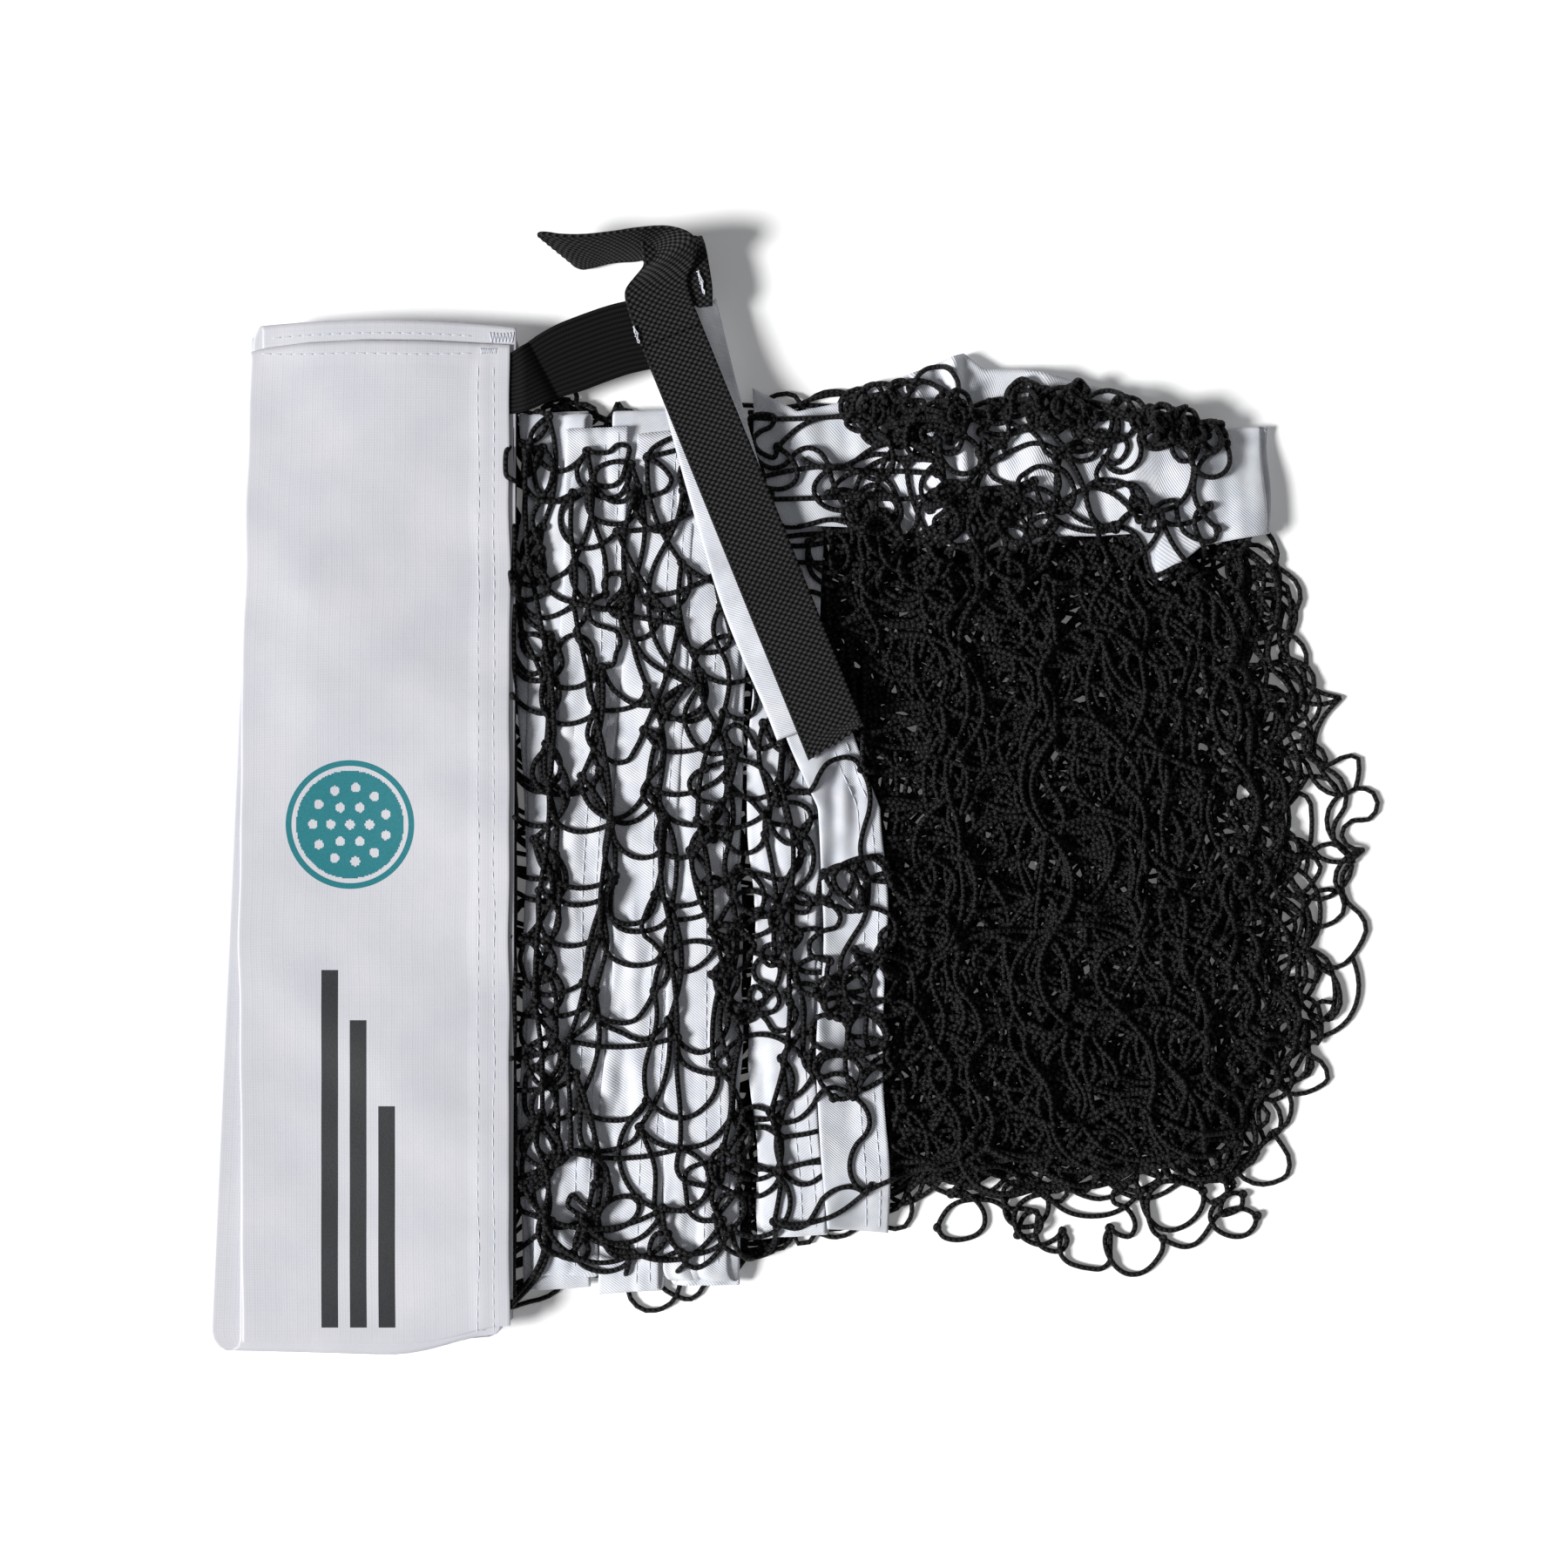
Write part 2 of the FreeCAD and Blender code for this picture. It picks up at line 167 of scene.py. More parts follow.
class Shape:
    """Points and faces being gathered into one mesh, with a UV for each face corner."""

    def __init__(self):
        self.points, self.faces, self.uvs, self.count = [], [], [], 0

    def add(self, points, *groups):
        """Adds points (n, 3), and groups of faces (f, k) with a UV for each corner (f, k, 2)."""
        self.points.append(np.asarray(points, float).reshape(-1, 3))
        for faces, uv in groups:
            self.faces.append(np.asarray(faces, int) + self.count)
            self.uvs.append(np.asarray(uv, float))
        self.count += len(self.points[-1])

    def piece(self, name, material):
        """The finished object."""
        mesh = bpy.data.meshes.new(name)
        points = np.concatenate(self.points)
        mesh.vertices.add(len(points))
        mesh.vertices.foreach_set("co", points.ravel())
        totals = np.concatenate([np.full(len(f), f.shape[1]) for f in self.faces])
        corners = np.concatenate([f.ravel() for f in self.faces])
        mesh.loops.add(len(corners))
        mesh.loops.foreach_set("vertex_index", corners)
        mesh.polygons.add(len(totals))
        mesh.polygons.foreach_set("loop_start", np.cumsum(totals) - totals)
        mesh.polygons.foreach_set("loop_total", totals)
        mesh.polygons.foreach_set("use_smooth", np.ones(len(totals), bool))
        mesh.update()
        layer = mesh.uv_layers.new(name="cloth")
        layer.data.foreach_set("uv", np.concatenate([u.reshape(-1) for u in self.uvs]))
        mesh.materials.append(material)
        mesh.validate()
        obj = bpy.data.objects.new(name, mesh)
        bpy.context.scene.collection.objects.link(obj)
        return obj


def grid_normals(grid):
    """Unit normals of a (row, column, xyz) grid."""
    return unit(np.cross(np.gradient(grid, axis=1), np.gradient(grid, axis=0)))


def grid_quads(rows, columns):
    """The point numbers of a grid (row, column), and those of its quads (row, column, corner)."""
    index = np.arange(rows * columns).reshape(rows, columns)
    return index, np.stack([index[:-1, :-1], index[:-1, 1:], index[1:, 1:], index[1:, :-1]], -1)


def add_slab(shape, middle, thick, across, along):
    """A closed thin cloth about the grid middle. across and along are its UVs."""
    rows, columns = middle.shape[:2]
    normal = grid_normals(middle)
    edge = np.ones((rows, columns))
    edge[[0, -1]] = edge[:, [0, -1]] = 0.35
    lift = (normal * (thick / 2)) * edge[..., None]
    points = np.concatenate([(middle + lift).reshape(-1, 3), (middle - lift).reshape(-1, 3)])
    index, quads = grid_quads(rows, columns)
    quads = quads.reshape(-1, 4)
    ring = np.concatenate([index[0, :-1], index[:-1, -1], index[-1, :0:-1], index[:0:-1, 0]])
    after = np.roll(ring, -1)
    wall = np.stack([after, ring, ring + rows * columns, after + rows * columns], -1)
    corner = np.cross(middle[0, 1] - middle[0, 0], middle[1, 0] - middle[0, 0])
    if corner @ normal[0, 0] < 0:
        quads, wall = quads[:, ::-1], wall[:, ::-1]
    under = quads[:, ::-1] + rows * columns
    uv = np.stack(np.broadcast_arrays(across, along), -1).reshape(-1, 2)
    faces = np.concatenate([quads, under, wall])
    shape.add(points, (faces, np.concatenate([uv, uv])[faces]))


def add_tubes(shape, lines, radius, sides):
    """Round cords along (line, point, xyz), closed at both ends. U runs along, V goes round."""
    count, rings = lines.shape[:2]
    tangent = unit(np.gradient(lines, axis=1))
    up = np.array([0.0, 0.0, 1.0]) + 0.05 * tangent[..., [1, 2, 0]]
    side = unit(np.cross(tangent, up))
    lift = np.cross(side, tangent)
    turn = 2 * np.pi * np.arange(sides) / sides
    points = (lines[:, :, None] + radius * (np.cos(turn)[:, None] * side[:, :, None]
                                            + np.sin(turn)[:, None] * lift[:, :, None]))
    index = np.arange(count * rings * sides).reshape(count, rings, sides)
    after = np.roll(index, -1, axis=2)
    quads = np.stack([index[:, :-1], after[:, :-1], after[:, 1:], index[:, 1:]], -1)
    gaps = np.linalg.norm(np.diff(lines, axis=1), axis=-1)
    along = np.concatenate([np.zeros((count, 1)), np.cumsum(gaps, axis=1)], axis=1)
    around = np.arange(sides + 1) / sides
    u0 = np.broadcast_to(along[:, :-1, None], (count, rings - 1, sides))
    u1 = np.broadcast_to(along[:, 1:, None], (count, rings - 1, sides))
    v0 = np.broadcast_to(around[:-1], u0.shape)
    v1 = np.broadcast_to(around[1:], u0.shape)
    uv = np.stack([np.stack(pair, -1) for pair in ((u0, v0), (u0, v1), (u1, v1), (u1, v0))], -2)
    ends = np.concatenate([index[:, 0, ::-1], index[:, -1]])
    shape.add(points, (quads.reshape(-1, 4), uv.reshape(-1, 4, 2)),
              (ends, np.zeros((2 * count, sides, 2))))


def add_rings(shape, loops, radius, sides):
    """Closed loops of cord along (loop, point, xyz)."""
    count, rings = loops.shape[:2]
    tangent = unit(np.roll(loops, -1, axis=1) - np.roll(loops, 1, axis=1))
    outward = unit(loops - loops.mean(axis=1, keepdims=True))
    side = unit(np.cross(tangent, outward))
    outward = np.cross(side, tangent)
    turn = 2 * np.pi * np.arange(sides) / sides
    points = (loops[:, :, None] + radius * (np.cos(turn)[:, None] * side[:, :, None]
                                            + np.sin(turn)[:, None] * outward[:, :, None]))
    index = np.arange(count * rings * sides).reshape(count, rings, sides)
    after = np.roll(index, -1, axis=2)
    quads = np.stack([index, after, np.roll(after, -1, axis=1), np.roll(index, -1, axis=1)], -1)
    step = 9 * MM / rings
    u = np.arange(rings)[:, None] * step + np.zeros(sides)
    v = np.arange(sides) / sides + np.zeros((rings, 1))
    uv = np.stack([np.stack(pair, -1) for pair in
                   ((u, v), (u, v + 1 / sides), (u + step, v + 1 / sides), (u + step, v))], -2)
    uv = np.broadcast_to(uv, (count,) + uv.shape)
    shape.add(points, (quads.reshape(-1, 4), uv.reshape(-1, 4, 2)))


# ---------------------------------------------------------------- what lies on what

class Ground:
    """How low the middle of a cord may lie, on a grid over the bundle."""

    CELL = 1.2 * MM
    MARGIN = 20 * MM

    def __init__(self):
        low, high = np.array(CAD_BOX[0]), np.array(CAD_BOX[1])
        self.low = low[:2] - self.MARGIN
        shape = np.ceil((high[:2] + self.MARGIN - self.low) / self.CELL).astype(int) + 1
        self.heights = np.full(shape, CORD_RADIUS)
        reach = np.arange(-2, 3)
        dx, dy = (d.ravel() for d in np.meshgrid(reach, reach))
        room = (2 * CORD_RADIUS) ** 2 - (dx ** 2 + dy ** 2) * self.CELL ** 2
        self.dx, self.dy = dx[room > 0], dy[room > 0]
        self.dome = np.sqrt(room[room > 0])
        x, y = (self.low[axis] + self.CELL * np.arange(shape[axis]) for axis in (0, 1))
        x, y = np.meshgrid(x, y, indexing="ij")
        beside, turns = low_high("netting_beside_headband")[1][2], MASS_HIGH[2]
        mass = turns - (turns - UPPER_HIGH[2]) * smooth(70 * MM, 110 * MM, y)
        self.full = beside + (mass - beside) * smooth(-25 * MM, 70 * MM, x)
        self.full += 2.2 * MM * Ripples(5, 50 * MM, 160 * MM)(x, y) * smooth(0, 80 * MM, x)

    def cells(self, points):
        at = np.rint((points[..., :2] - self.low) / self.CELL).astype(int)
        return np.clip(at, 2, np.array(self.heights.shape) - 3)

    def under(self, points):
        """The least height of a cord's middle at each point."""
        at = self.cells(points)
        return self.heights[at[..., 0], at[..., 1]]

    def add_cords(self, points, pack=1.0):
        """Stamps cords, given points closer than a cell along them. pack under 1 sinks them in."""
        points = points.reshape(-1, 3)
        at = self.cells(points)
        x, y = at[:, :1] + self.dx, at[:, 1:] + self.dy
        np.maximum.at(self.heights, (x, y), points[:, 2:] + self.dome * pack)

    def press(self, share):
        """What lies there sinks together, to at most this share of the pile's full height."""
        np.minimum(self.heights, CORD_RADIUS + share * self.full, out=self.heights)

    def add_cloth(self, grid):
        """Raises the ground to a cloth's upper face, given as a grid finer than a cell or two."""
        fine = resample(resample(grid, 3).transpose(1, 0, 2), 3).reshape(-1, 3)
        at = self.cells(fine)
        for dx in (0, 1):
            for dy in (0, 1):
                np.maximum.at(self.heights, (at[:, 0] + dx, at[:, 1] + dy),
                              fine[:, 2] + CORD_RADIUS + 0.4 * MM)

    def clip(self, lines, share):
        """Cords deep in the pile are squeezed to at most this share of its height."""
        at = self.cells(lines)
        most = CORD_RADIUS + share * self.full[at[..., 0], at[..., 1]]
        lines[..., 2] = np.minimum(lines[..., 2], most)
        return lines

    def cover(self, reach=4, blur=5, lift=0.0):
        """The same heights as a cloth laid over them takes: highest nearby, then smoothed."""
        spread = self.heights
        for axis in (0, 1):
            spread = np.max([np.roll(spread, shift, axis) for shift in range(-reach, reach + 1)], 0)
        weights = np.exp(-0.5 * (np.arange(-2 * blur, 2 * blur + 1) / blur) ** 2)
        weights /= weights.sum()
        for axis in (0, 1):
            spread = sum(w * np.roll(spread, shift, axis)
                         for w, shift in zip(weights, range(-2 * blur, 2 * blur + 1)))
        return Cover(self, spread - CORD_RADIUS + lift)


class Cover:
    """Smoothed heights of what lies there, read between the cells."""

    def __init__(self, ground, heights):
        self.low, self.cell, self.heights = ground.low, ground.CELL, heights

    def __call__(self, x, y):
        u = np.clip((x - self.low[0]) / self.cell, 0, self.heights.shape[0] - 1.001)
        v = np.clip((y - self.low[1]) / self.cell, 0, self.heights.shape[1] - 1.001)
        i, j = u.astype(int), v.astype(int)
        u, v, z = u - i, v - j, self.heights
        return ((z[i, j] * (1 - u) + z[i + 1, j] * u) * (1 - v)
                + (z[i, j + 1] * (1 - u) + z[i + 1, j + 1] * u) * v)


def place_knots(knots, pinned, bars):
    """Moves free knots as little as it takes for no bar to be stretched."""
    rounds = 70
    aim, knots = knots.copy(), knots.copy()
    degree = np.maximum(np.bincount(bars.ravel(), minlength=len(knots)), 1)[:, None]
    loose = smooth(10 * MM, 80 * MM, knots[bars].mean(1)[:, :1])
    longest = (0.955 - 0.12 * loose) * MESH_BAR
    for turn in range(rounds):
        if turn < rounds // 2:
            knots[~pinned] += 0.12 * (aim - knots)[~pinned]
        chord = knots[bars[:, 1]] - knots[bars[:, 0]]
        span = np.maximum(np.linalg.norm(chord, axis=1, keepdims=True), 1e-9)
        fix = 0.5 * np.maximum(0, 1 - longest / span) * chord
        move = np.zeros_like(knots)
        np.add.at(move, bars[:, 0], fix)
        np.add.at(move, bars[:, 1], -fix)
        knots[~pinned] += (1.6 * move / degree ** 0.7)[~pinned]
    return knots


def slack_shapes(ends, aside, double, inner):
    """Cords of MESH_BAR between ends (b, 2, 3), bowed towards aside (b, 2), or an S if double."""
    part = np.linspace(0, 1, inner + 2)[None, :]
    chord = (ends[:, 1] - ends[:, 0])[:, :2]
    span = np.linalg.norm(chord, axis=1)[:, None]
    ahead = np.where(span > 3 * MM, chord / np.maximum(span, 1e-9),
                     np.stack([aside[:, 1], -aside[:, 0]], -1))
    upward = np.stack([-ahead[:, 1], ahead[:, 0]], -1)
    upward = upward * np.sign((upward * aside).sum(-1, keepdims=True) + 1e-9)
    angles = np.linspace(1e-3, 0.9 * np.pi, 400)
    theta = np.interp(span / MESH_BAR, (np.sin(angles) / angles)[::-1], angles[::-1])
    radius = MESH_BAR / (2 * theta)
    twice = double[:, None]
    local = np.where(twice, (2 * part) % 1, part)
    local = np.where(twice & (part >= 1), 1, local)
    scale = np.where(twice, 0.5, 1.0)
    phi = theta * (2 * local - 1)
    along = scale * radius * (np.sin(phi) + np.sin(theta))
    off = scale * radius * (np.cos(phi) - np.cos(theta))
    second = twice & (part >= 0.5)
    along = np.where(second, along + radius * np.sin(theta), along)
    off = np.where(second, -off, off)
    line = ends[:, :1] * (1 - part[..., None]) + ends[:, 1:] * part[..., None]
    line[..., :2] = (ends[:, :1, :2] + ahead[:, None] * along[..., None]
                     + upward[:, None] * off[..., None])
    return line


def settle(ground, knots, pinned, bars, aside, double, inner, steps, pack):
    """Relaxes one sheet of netting onto the ground and returns its bars' lines and its knots.

    bars (b, 2) join the knots (n, 3) with a cord of MESH_BAR through inner points. They
    start as in slack_shapes.
    """
    knots = place_knots(knots, pinned, bars)
    knots[~pinned, 2] = ground.under(knots)[~pinned]
    ends, rest = knots[bars], MESH_BAR / (inner + 1)
    line = slack_shapes(ends, aside, double, inner)
    draw = np.random.default_rng(len(bars))
    hump = np.sin(3 * np.pi * np.linspace(0, 1, inner + 2))[None, :, None]
    line[..., :2] += hump * draw.normal(size=(len(bars), 1, 2)) * 1.3 * MM
    line[..., 2] = np.maximum(line[..., 2], ground.under(line))
    for _ in range(steps):
        line[:, 1:-1, 2] -= 0.45 * MM
        for _ in range(4):
            bend = line[:, 2:] - 2 * line[:, 1:-1] + line[:, :-2]
            line[:, 1:-1] += 0.02 * bend
            for start in (0, 1):
                a, b = line[:, start:-1:2], line[:, start + 1::2]
                gap = b - a
                away = np.maximum(np.linalg.norm(gap, axis=-1, keepdims=True), 1e-9)
                fix = 0.5 * (1 - rest / away)
                a += fix * gap
                b -= fix * gap
            line[:, 0], line[:, -1] = ends[:, 0], ends[:, 1]
        line[:, 1:-1, 2] = np.maximum(line[:, 1:-1, 2], ground.under(line[:, 1:-1]))
    return weave(ground, line, pack), knots


def weave(ground, line, pack):
    """Lays the bars of one sheet one after another, each over those that it crosses."""
    fine = resample(line, max(1, round(MESH_BAR / (line.shape[1] - 1) / (1.3 * MM))))
    clear = max(1, round(3.0 * MM / (MESH_BAR / (fine.shape[1] - 1))))
    for bar in fine:
        height = np.maximum(bar[:, 2], ground.under(bar))
        height[:clear], height[-clear:] = bar[:clear, 2], bar[-clear:, 2]
        for _ in range(3):
            soft = height.copy()
            soft[1:-1] = (height[:-2] + 2 * height[1:-1] + height[2:]) / 4
            height[clear:-clear] = np.maximum(soft, 0.5 * (soft + height))[clear:-clear]
        bar[:, 2] = height
        ground.add_cords(bar[clear:-clear], pack)
    return fine


# ---------------------------------------------------------------- the netting

class Netting:
    """Lays the net's sheets in turn, and keeps what later sheets join."""

    NEAR_DEEP = np.array([0, 20, 56, 84, 112]) * MM   # the first columns' distances from the seam
    NEAR_HIGH = np.array([0, 13, 34, 62, 90, 114, 138]) * MM      # and those of the upper sheets
    DROOP = np.array([0, 6, 24, 30, 22, 10]) * MM     # and how far they hang towards -Y
    TOP = np.array([(-125, 176), (-60, 168), (0, 160), (28, 172), (60, 177), (100, 175), (167, 156),
                    (204, 128), (224, 80), (242, 0)]) * MM          # the bundle's outline in plan
    FOOT = np.array([(-125, -205), (-74, -212), (-19, -207), (25, -194), (47, -179), (101, -175),
                     (149, -188), (191, -194), (211, -152), (233, -101), (246, -79)]) * MM
    RIGHT = np.array([(192, -196), (211, -152), (233, -101), (244, -79), (243, -46), (240, 0),
                      (224, 80), (204, 128), (167, 156)]) * MM

    def __init__(self, ground):
        self.ground = ground
        self.draw = np.random.default_rng(41)
        self.ends = {}                                # the last row of knots, by (column, end)
        self.turns = {}                               # a leaf's knots at the turn, by row

    def tape_edge(self, leaf, y):
        """The x of the bottom tape's netting edge, where a leaf's last column is sewn."""
        if leaf <= STACK_LEAVES:
            return np.full_like(y, low_high(f"bottom_tape_leaf_{leaf:02d}")[1][0] - 1 * MM)
        low, high = low_high("end_bottom_tape")
        lean = math.tan(math.radians(16))
        return high[0] - 1 * MM - np.maximum(0, y - high[1]) * lean

    def aims(self, leaf, columns, rows):
        """Where a sheet's knots are drawn to in plan, as (column, row, xy)."""
        draw = np.random.default_rng(900 + leaf)
        high = leaf > DEEP_LEAVES
        part = (draw.uniform(0.2, 0.9) + np.arange(rows)) / (rows + 0.15)
        c, v = np.meshgrid(columns, part, indexing="ij")
        sewn_y = LEAF_LOW[1] + v * (LEAF_HIGH - LEAF_LOW)[1]
        beside_y = np.interp(v, (0, 1), (BESIDE_LOW[1] + 20 * MM, BESIDE_HIGH[1] + 34 * MM))
        near_y = np.where(c == 0, sewn_y, beside_y)
        low_y = MASS_LOW[1] + draw.uniform(2, 22) * MM
        if high or draw.random() < 0.45:
            band = np.array([-1, 92, 134, 171]) * MM
            band[0] = low_y
            far_y = np.interp(v, (0, 0.72, 0.86, 1.0), band)
        else:
            far_y = low_y + v * (MASS_HIGH[1] - draw.uniform(-12, 14) * MM - low_y)
        tape = self.tape_edge(leaf, near_y)
        far = MASS_HIGH[0] - (draw.uniform(25, 70) if high else draw.choice([4, 8, 14, 22])) * MM
        turn = np.minimum(far, tape + 5.3 * MESH_BAR)
        turn = np.minimum(turn, np.interp(far_y, self.RIGHT[:, 1], self.RIGHT[:, 0])
                          - draw.uniform(4, 24, far_y.shape) * MM)
        steps = self.NEAR_HIGH if high else self.NEAR_DEEP
        last = len(steps) - 1
        near = np.interp(c, np.arange(last + 1), SEAM_X + steps)
        out = near + np.clip((c - last) / (TURN - 1 - last), 0, 1) * (turn - near)
        back = turn + np.clip((c - TURN) / (LAST_COLUMN - TURN), 0, 1) * (tape - turn)
        x = np.where(c < TURN, out, back)
        gather = smooth(-30 * MM, 60 * MM, x)
        droop = np.interp(c, np.arange(6), self.DROOP) * (1 - 0.6 * gather)
        y = near_y + gather * (far_y - near_y) - droop
        sway, drift = (Ripples(leaf * 7 + k, 60 * MM, 260 * MM) for k in (1, 2))
        loose = (0.55 + 0.45 * gather) * smooth(0, 2, np.minimum(c, LAST_COLUMN - c))
        shift = draw.normal(size=len(columns))[:, None] * (4 if high else 9) * MM
        wild = 1 + 0.8 * (gather if high else 1)
        x = x - 16 * MM * smooth(-20 * MM, 120 * MM, y) * np.interp(c, (2, 3, 5, 7), (0, 1, 1, 0))
        x = x + (15 * MM * sway(near_y, c * MESH_BAR) + shift
                 + 10 * MM * wild * draw.normal(size=x.shape)) * loose
        y = y + (12 * MM * drift(near_y, c * MESH_BAR)
                 + 10 * MM * wild * draw.normal(size=x.shape)) * loose
        margin = draw.uniform(3, 22, y.shape) * MM
        y = np.minimum(y, np.interp(x, self.TOP[:, 0], self.TOP[:, 1]) - 0.6 * margin)
        if high:
            margin = margin + draw.uniform(0, 26, y.shape) * MM * smooth(20 * MM, -40 * MM, x)
        y = np.maximum(y, np.interp(x, self.FOOT[:, 0], self.FOOT[:, 1]) + margin)
        return np.stack([x, np.where(c == 0, sewn_y, y)], -1)

    def lay(self, leaf, columns, kind, inner, pack, steps, plan=None):
        """Lays one sheet: the leaf's given columns. Returns its bars' lines and its knots."""
        if plan is None:
            plan = self.aims(leaf, columns, 8 + (leaf % 2))
        count, rows = plan.shape[:2]
        number = np.arange(count * rows).reshape(count, rows)
        knots = np.zeros((count * rows, 3))
        knots[:, :2] = plan.reshape(-1, 2)
        knots[:, 2] = self.ground.under(knots)
        pinned = np.zeros(len(knots), bool)
        sewn = number[0] if columns[0] == 0 else number[-1] if columns[-1] == LAST_COLUMN else []
        if len(sewn):
            pinned[sewn] = True
        if columns[0] == 0:
            knots[sewn, 2] = (leaf - 0.5) * (LEAF_HIGH[2] / (STACK_LEAVES + 1))
        along = np.stack([number[:-1], number[1:]], -1).reshape(-1, 2)
        inside = [i for i, c in enumerate(columns) if 0 < c < LAST_COLUMN]
        across = np.stack([number[inside, :-1], number[inside, 1:]], -1).reshape(-1, 2)
        bars = np.concatenate([along, across])
        links = np.zeros((0, 2))
        if kind in ("out", "back") and leaf <= STACK_LEAVES:
            knots, pinned, bars, links = self.join_folds(
                leaf, columns, kind, number, knots, pinned, bars, links)
        if kind == "out" and leaf in self.turns:
            knots, pinned, bars, links = self.join_turn(
                leaf, number, knots, pinned, bars, links)
        placed = place_knots(knots, pinned, bars)
        own = len(bars) - len(links)
        aside, double = self.bends(placed, bars[:own], len(along))
        aside = np.concatenate([aside, links])
        double = np.append(double, self.draw.random(len(links)) < 0.55)
        lines, knots = settle(self.ground, placed, pinned, bars, aside, double, inner, steps, pack)
        knots = knots[:count * rows].reshape(count, rows, 3)
        if kind in ("out", "back"):
            for i, column in enumerate(columns):
                self.ends[kind, column] = (knots[i, 0], knots[i, -1])
        if kind == "back":
            self.turns[leaf] = knots[0]
        return lines, knots[inside].reshape(-1, 3)

    def bends(self, knots, bars, along):
        """Which way each bar bows in plan, and whether it makes an S instead."""
        chord = unit((knots[bars[:, 1]] - knots[bars[:, 0]])[:, :2])
        aside = np.stack([-chord[:, 1], chord[:, 0]], -1)
        aside *= np.where(self.draw.random(len(bars)) < 0.5, 1.0, -1.0)[:, None]
        middle_x, middle_y = knots[bars].mean(1)[:, :2].T
        droops = (np.arange(len(bars)) < along) & (middle_x < -40 * MM)
        droops &= self.draw.random(len(bars)) < 0.85
        aside[droops] *= -np.sign(aside[droops, 1:])
        rim = np.maximum(smooth(130 * MM, 200 * MM, middle_x), smooth(125 * MM, 150 * MM, middle_y))
        return aside, (self.draw.random(len(bars)) < 0.42 + 0.36 * rim) & ~droops

    def join_folds(self, leaf, columns, kind, number, knots, pinned, bars, bulge):
        """Bars that go round the fold between this leaf and the one before it."""
        end = leaf % 2
        row, outward = (-1, 1.0) if end else (0, -1.0)
        for i, column in enumerate(columns):
            if (kind, column) not in self.ends or column in (0, LAST_COLUMN):
                continue
            before = self.ends[kind, column][-1 if end else 0]
            near = knots[number[i, row]]
            if np.linalg.norm((before - near)[:2]) > 0.95 * MESH_BAR:
                continue
            knots = np.concatenate([knots, before[None]])
            pinned = np.append(pinned, True)
            bars = np.concatenate([bars, [[number[i, row], len(knots) - 1]]])
            bulge = np.concatenate([bulge, [[self.draw.uniform(-0.4, 0.4), outward]]])
        return knots, pinned, bars, bulge

    def join_turn(self, leaf, number, knots, pinned, bars, bulge):
        """Bars that go round the turn between the sheet going out and the one coming back."""
        for row in range(number.shape[1]):
            there, here = self.turns[leaf][row], knots[number[-1, row]]
            if np.linalg.norm((there - here)[:2]) > 0.95 * MESH_BAR:
                continue
            knots = np.concatenate([knots, there[None]])
            pinned = np.append(pinned, True)
            bars = np.concatenate([bars, [[number[-1, row], len(knots) - 1]]])
            bulge = np.concatenate([bulge, [[1.0, self.draw.uniform(-0.5, 0.5)]]])
        return knots, pinned, bars, bulge


def add_knots(shape, knots, seed):
    """Small sheet-bend lumps, as two turns of cord tied round each crossing."""
    sides, rings = 6, 12
    draw = np.random.default_rng(seed)
    count = len(knots)
    t = 2 * np.pi * np.arange(rings) / rings
    for turn in range(2):
        angle = draw.uniform(0, 2 * np.pi, count)[:, None]
        tilt = draw.uniform(-0.5, 0.5, count)[:, None]
        size = draw.uniform(1.05, 1.35, count)[:, None] * MM
        x, y, z = size * np.cos(t), 0.8 * size * np.sin(t), 0.5 * size * np.sin(2 * t + turn)
        z = z + tilt * x + (0.5 * turn) * MM
        ring = np.stack([x * np.cos(angle) - y * np.sin(angle),
                         x * np.sin(angle) + y * np.cos(angle), z], -1)
        add_rings(shape, knots[:, None] + ring, 0.98 * MM, sides)      # pulled a little thinner


# ---------------------------------------------------------------- cloth strips

def row_of_stitches(shape, grid, aside, start, stop, lift, pitch, radius=THREAD_RADIUS):
    """A row of lockstitches along a grid's rows, at the fraction aside of its width."""
    columns = grid.shape[1] - 1
    at = np.clip(aside * columns, 0, columns - 1e-6)
    left = int(at)
    line = grid[:, left] * (1 - at + left) + grid[:, left + 1] * (at - left)
    up = grid_normals(grid)[:, left]
    up = up * np.sign(up[:, 2:] + 1e-9)
    lengths = lengths_along(line)
    count = int((lengths[-1] - start - stop) / pitch)
    where = start + (np.arange(count)[:, None] + np.linspace(0.07, 0.93, 7)) * pitch
    rise = lift * np.sin(np.pi * np.linspace(0, 1, 7)) ** 0.5 - 0.6 * radius
    points = read_at(where, lengths, line) + read_at(where, lengths, up) * rise[:, None]
    add_tubes(shape, points, radius, 6)


# ---------------------------------------------------------------- finishes

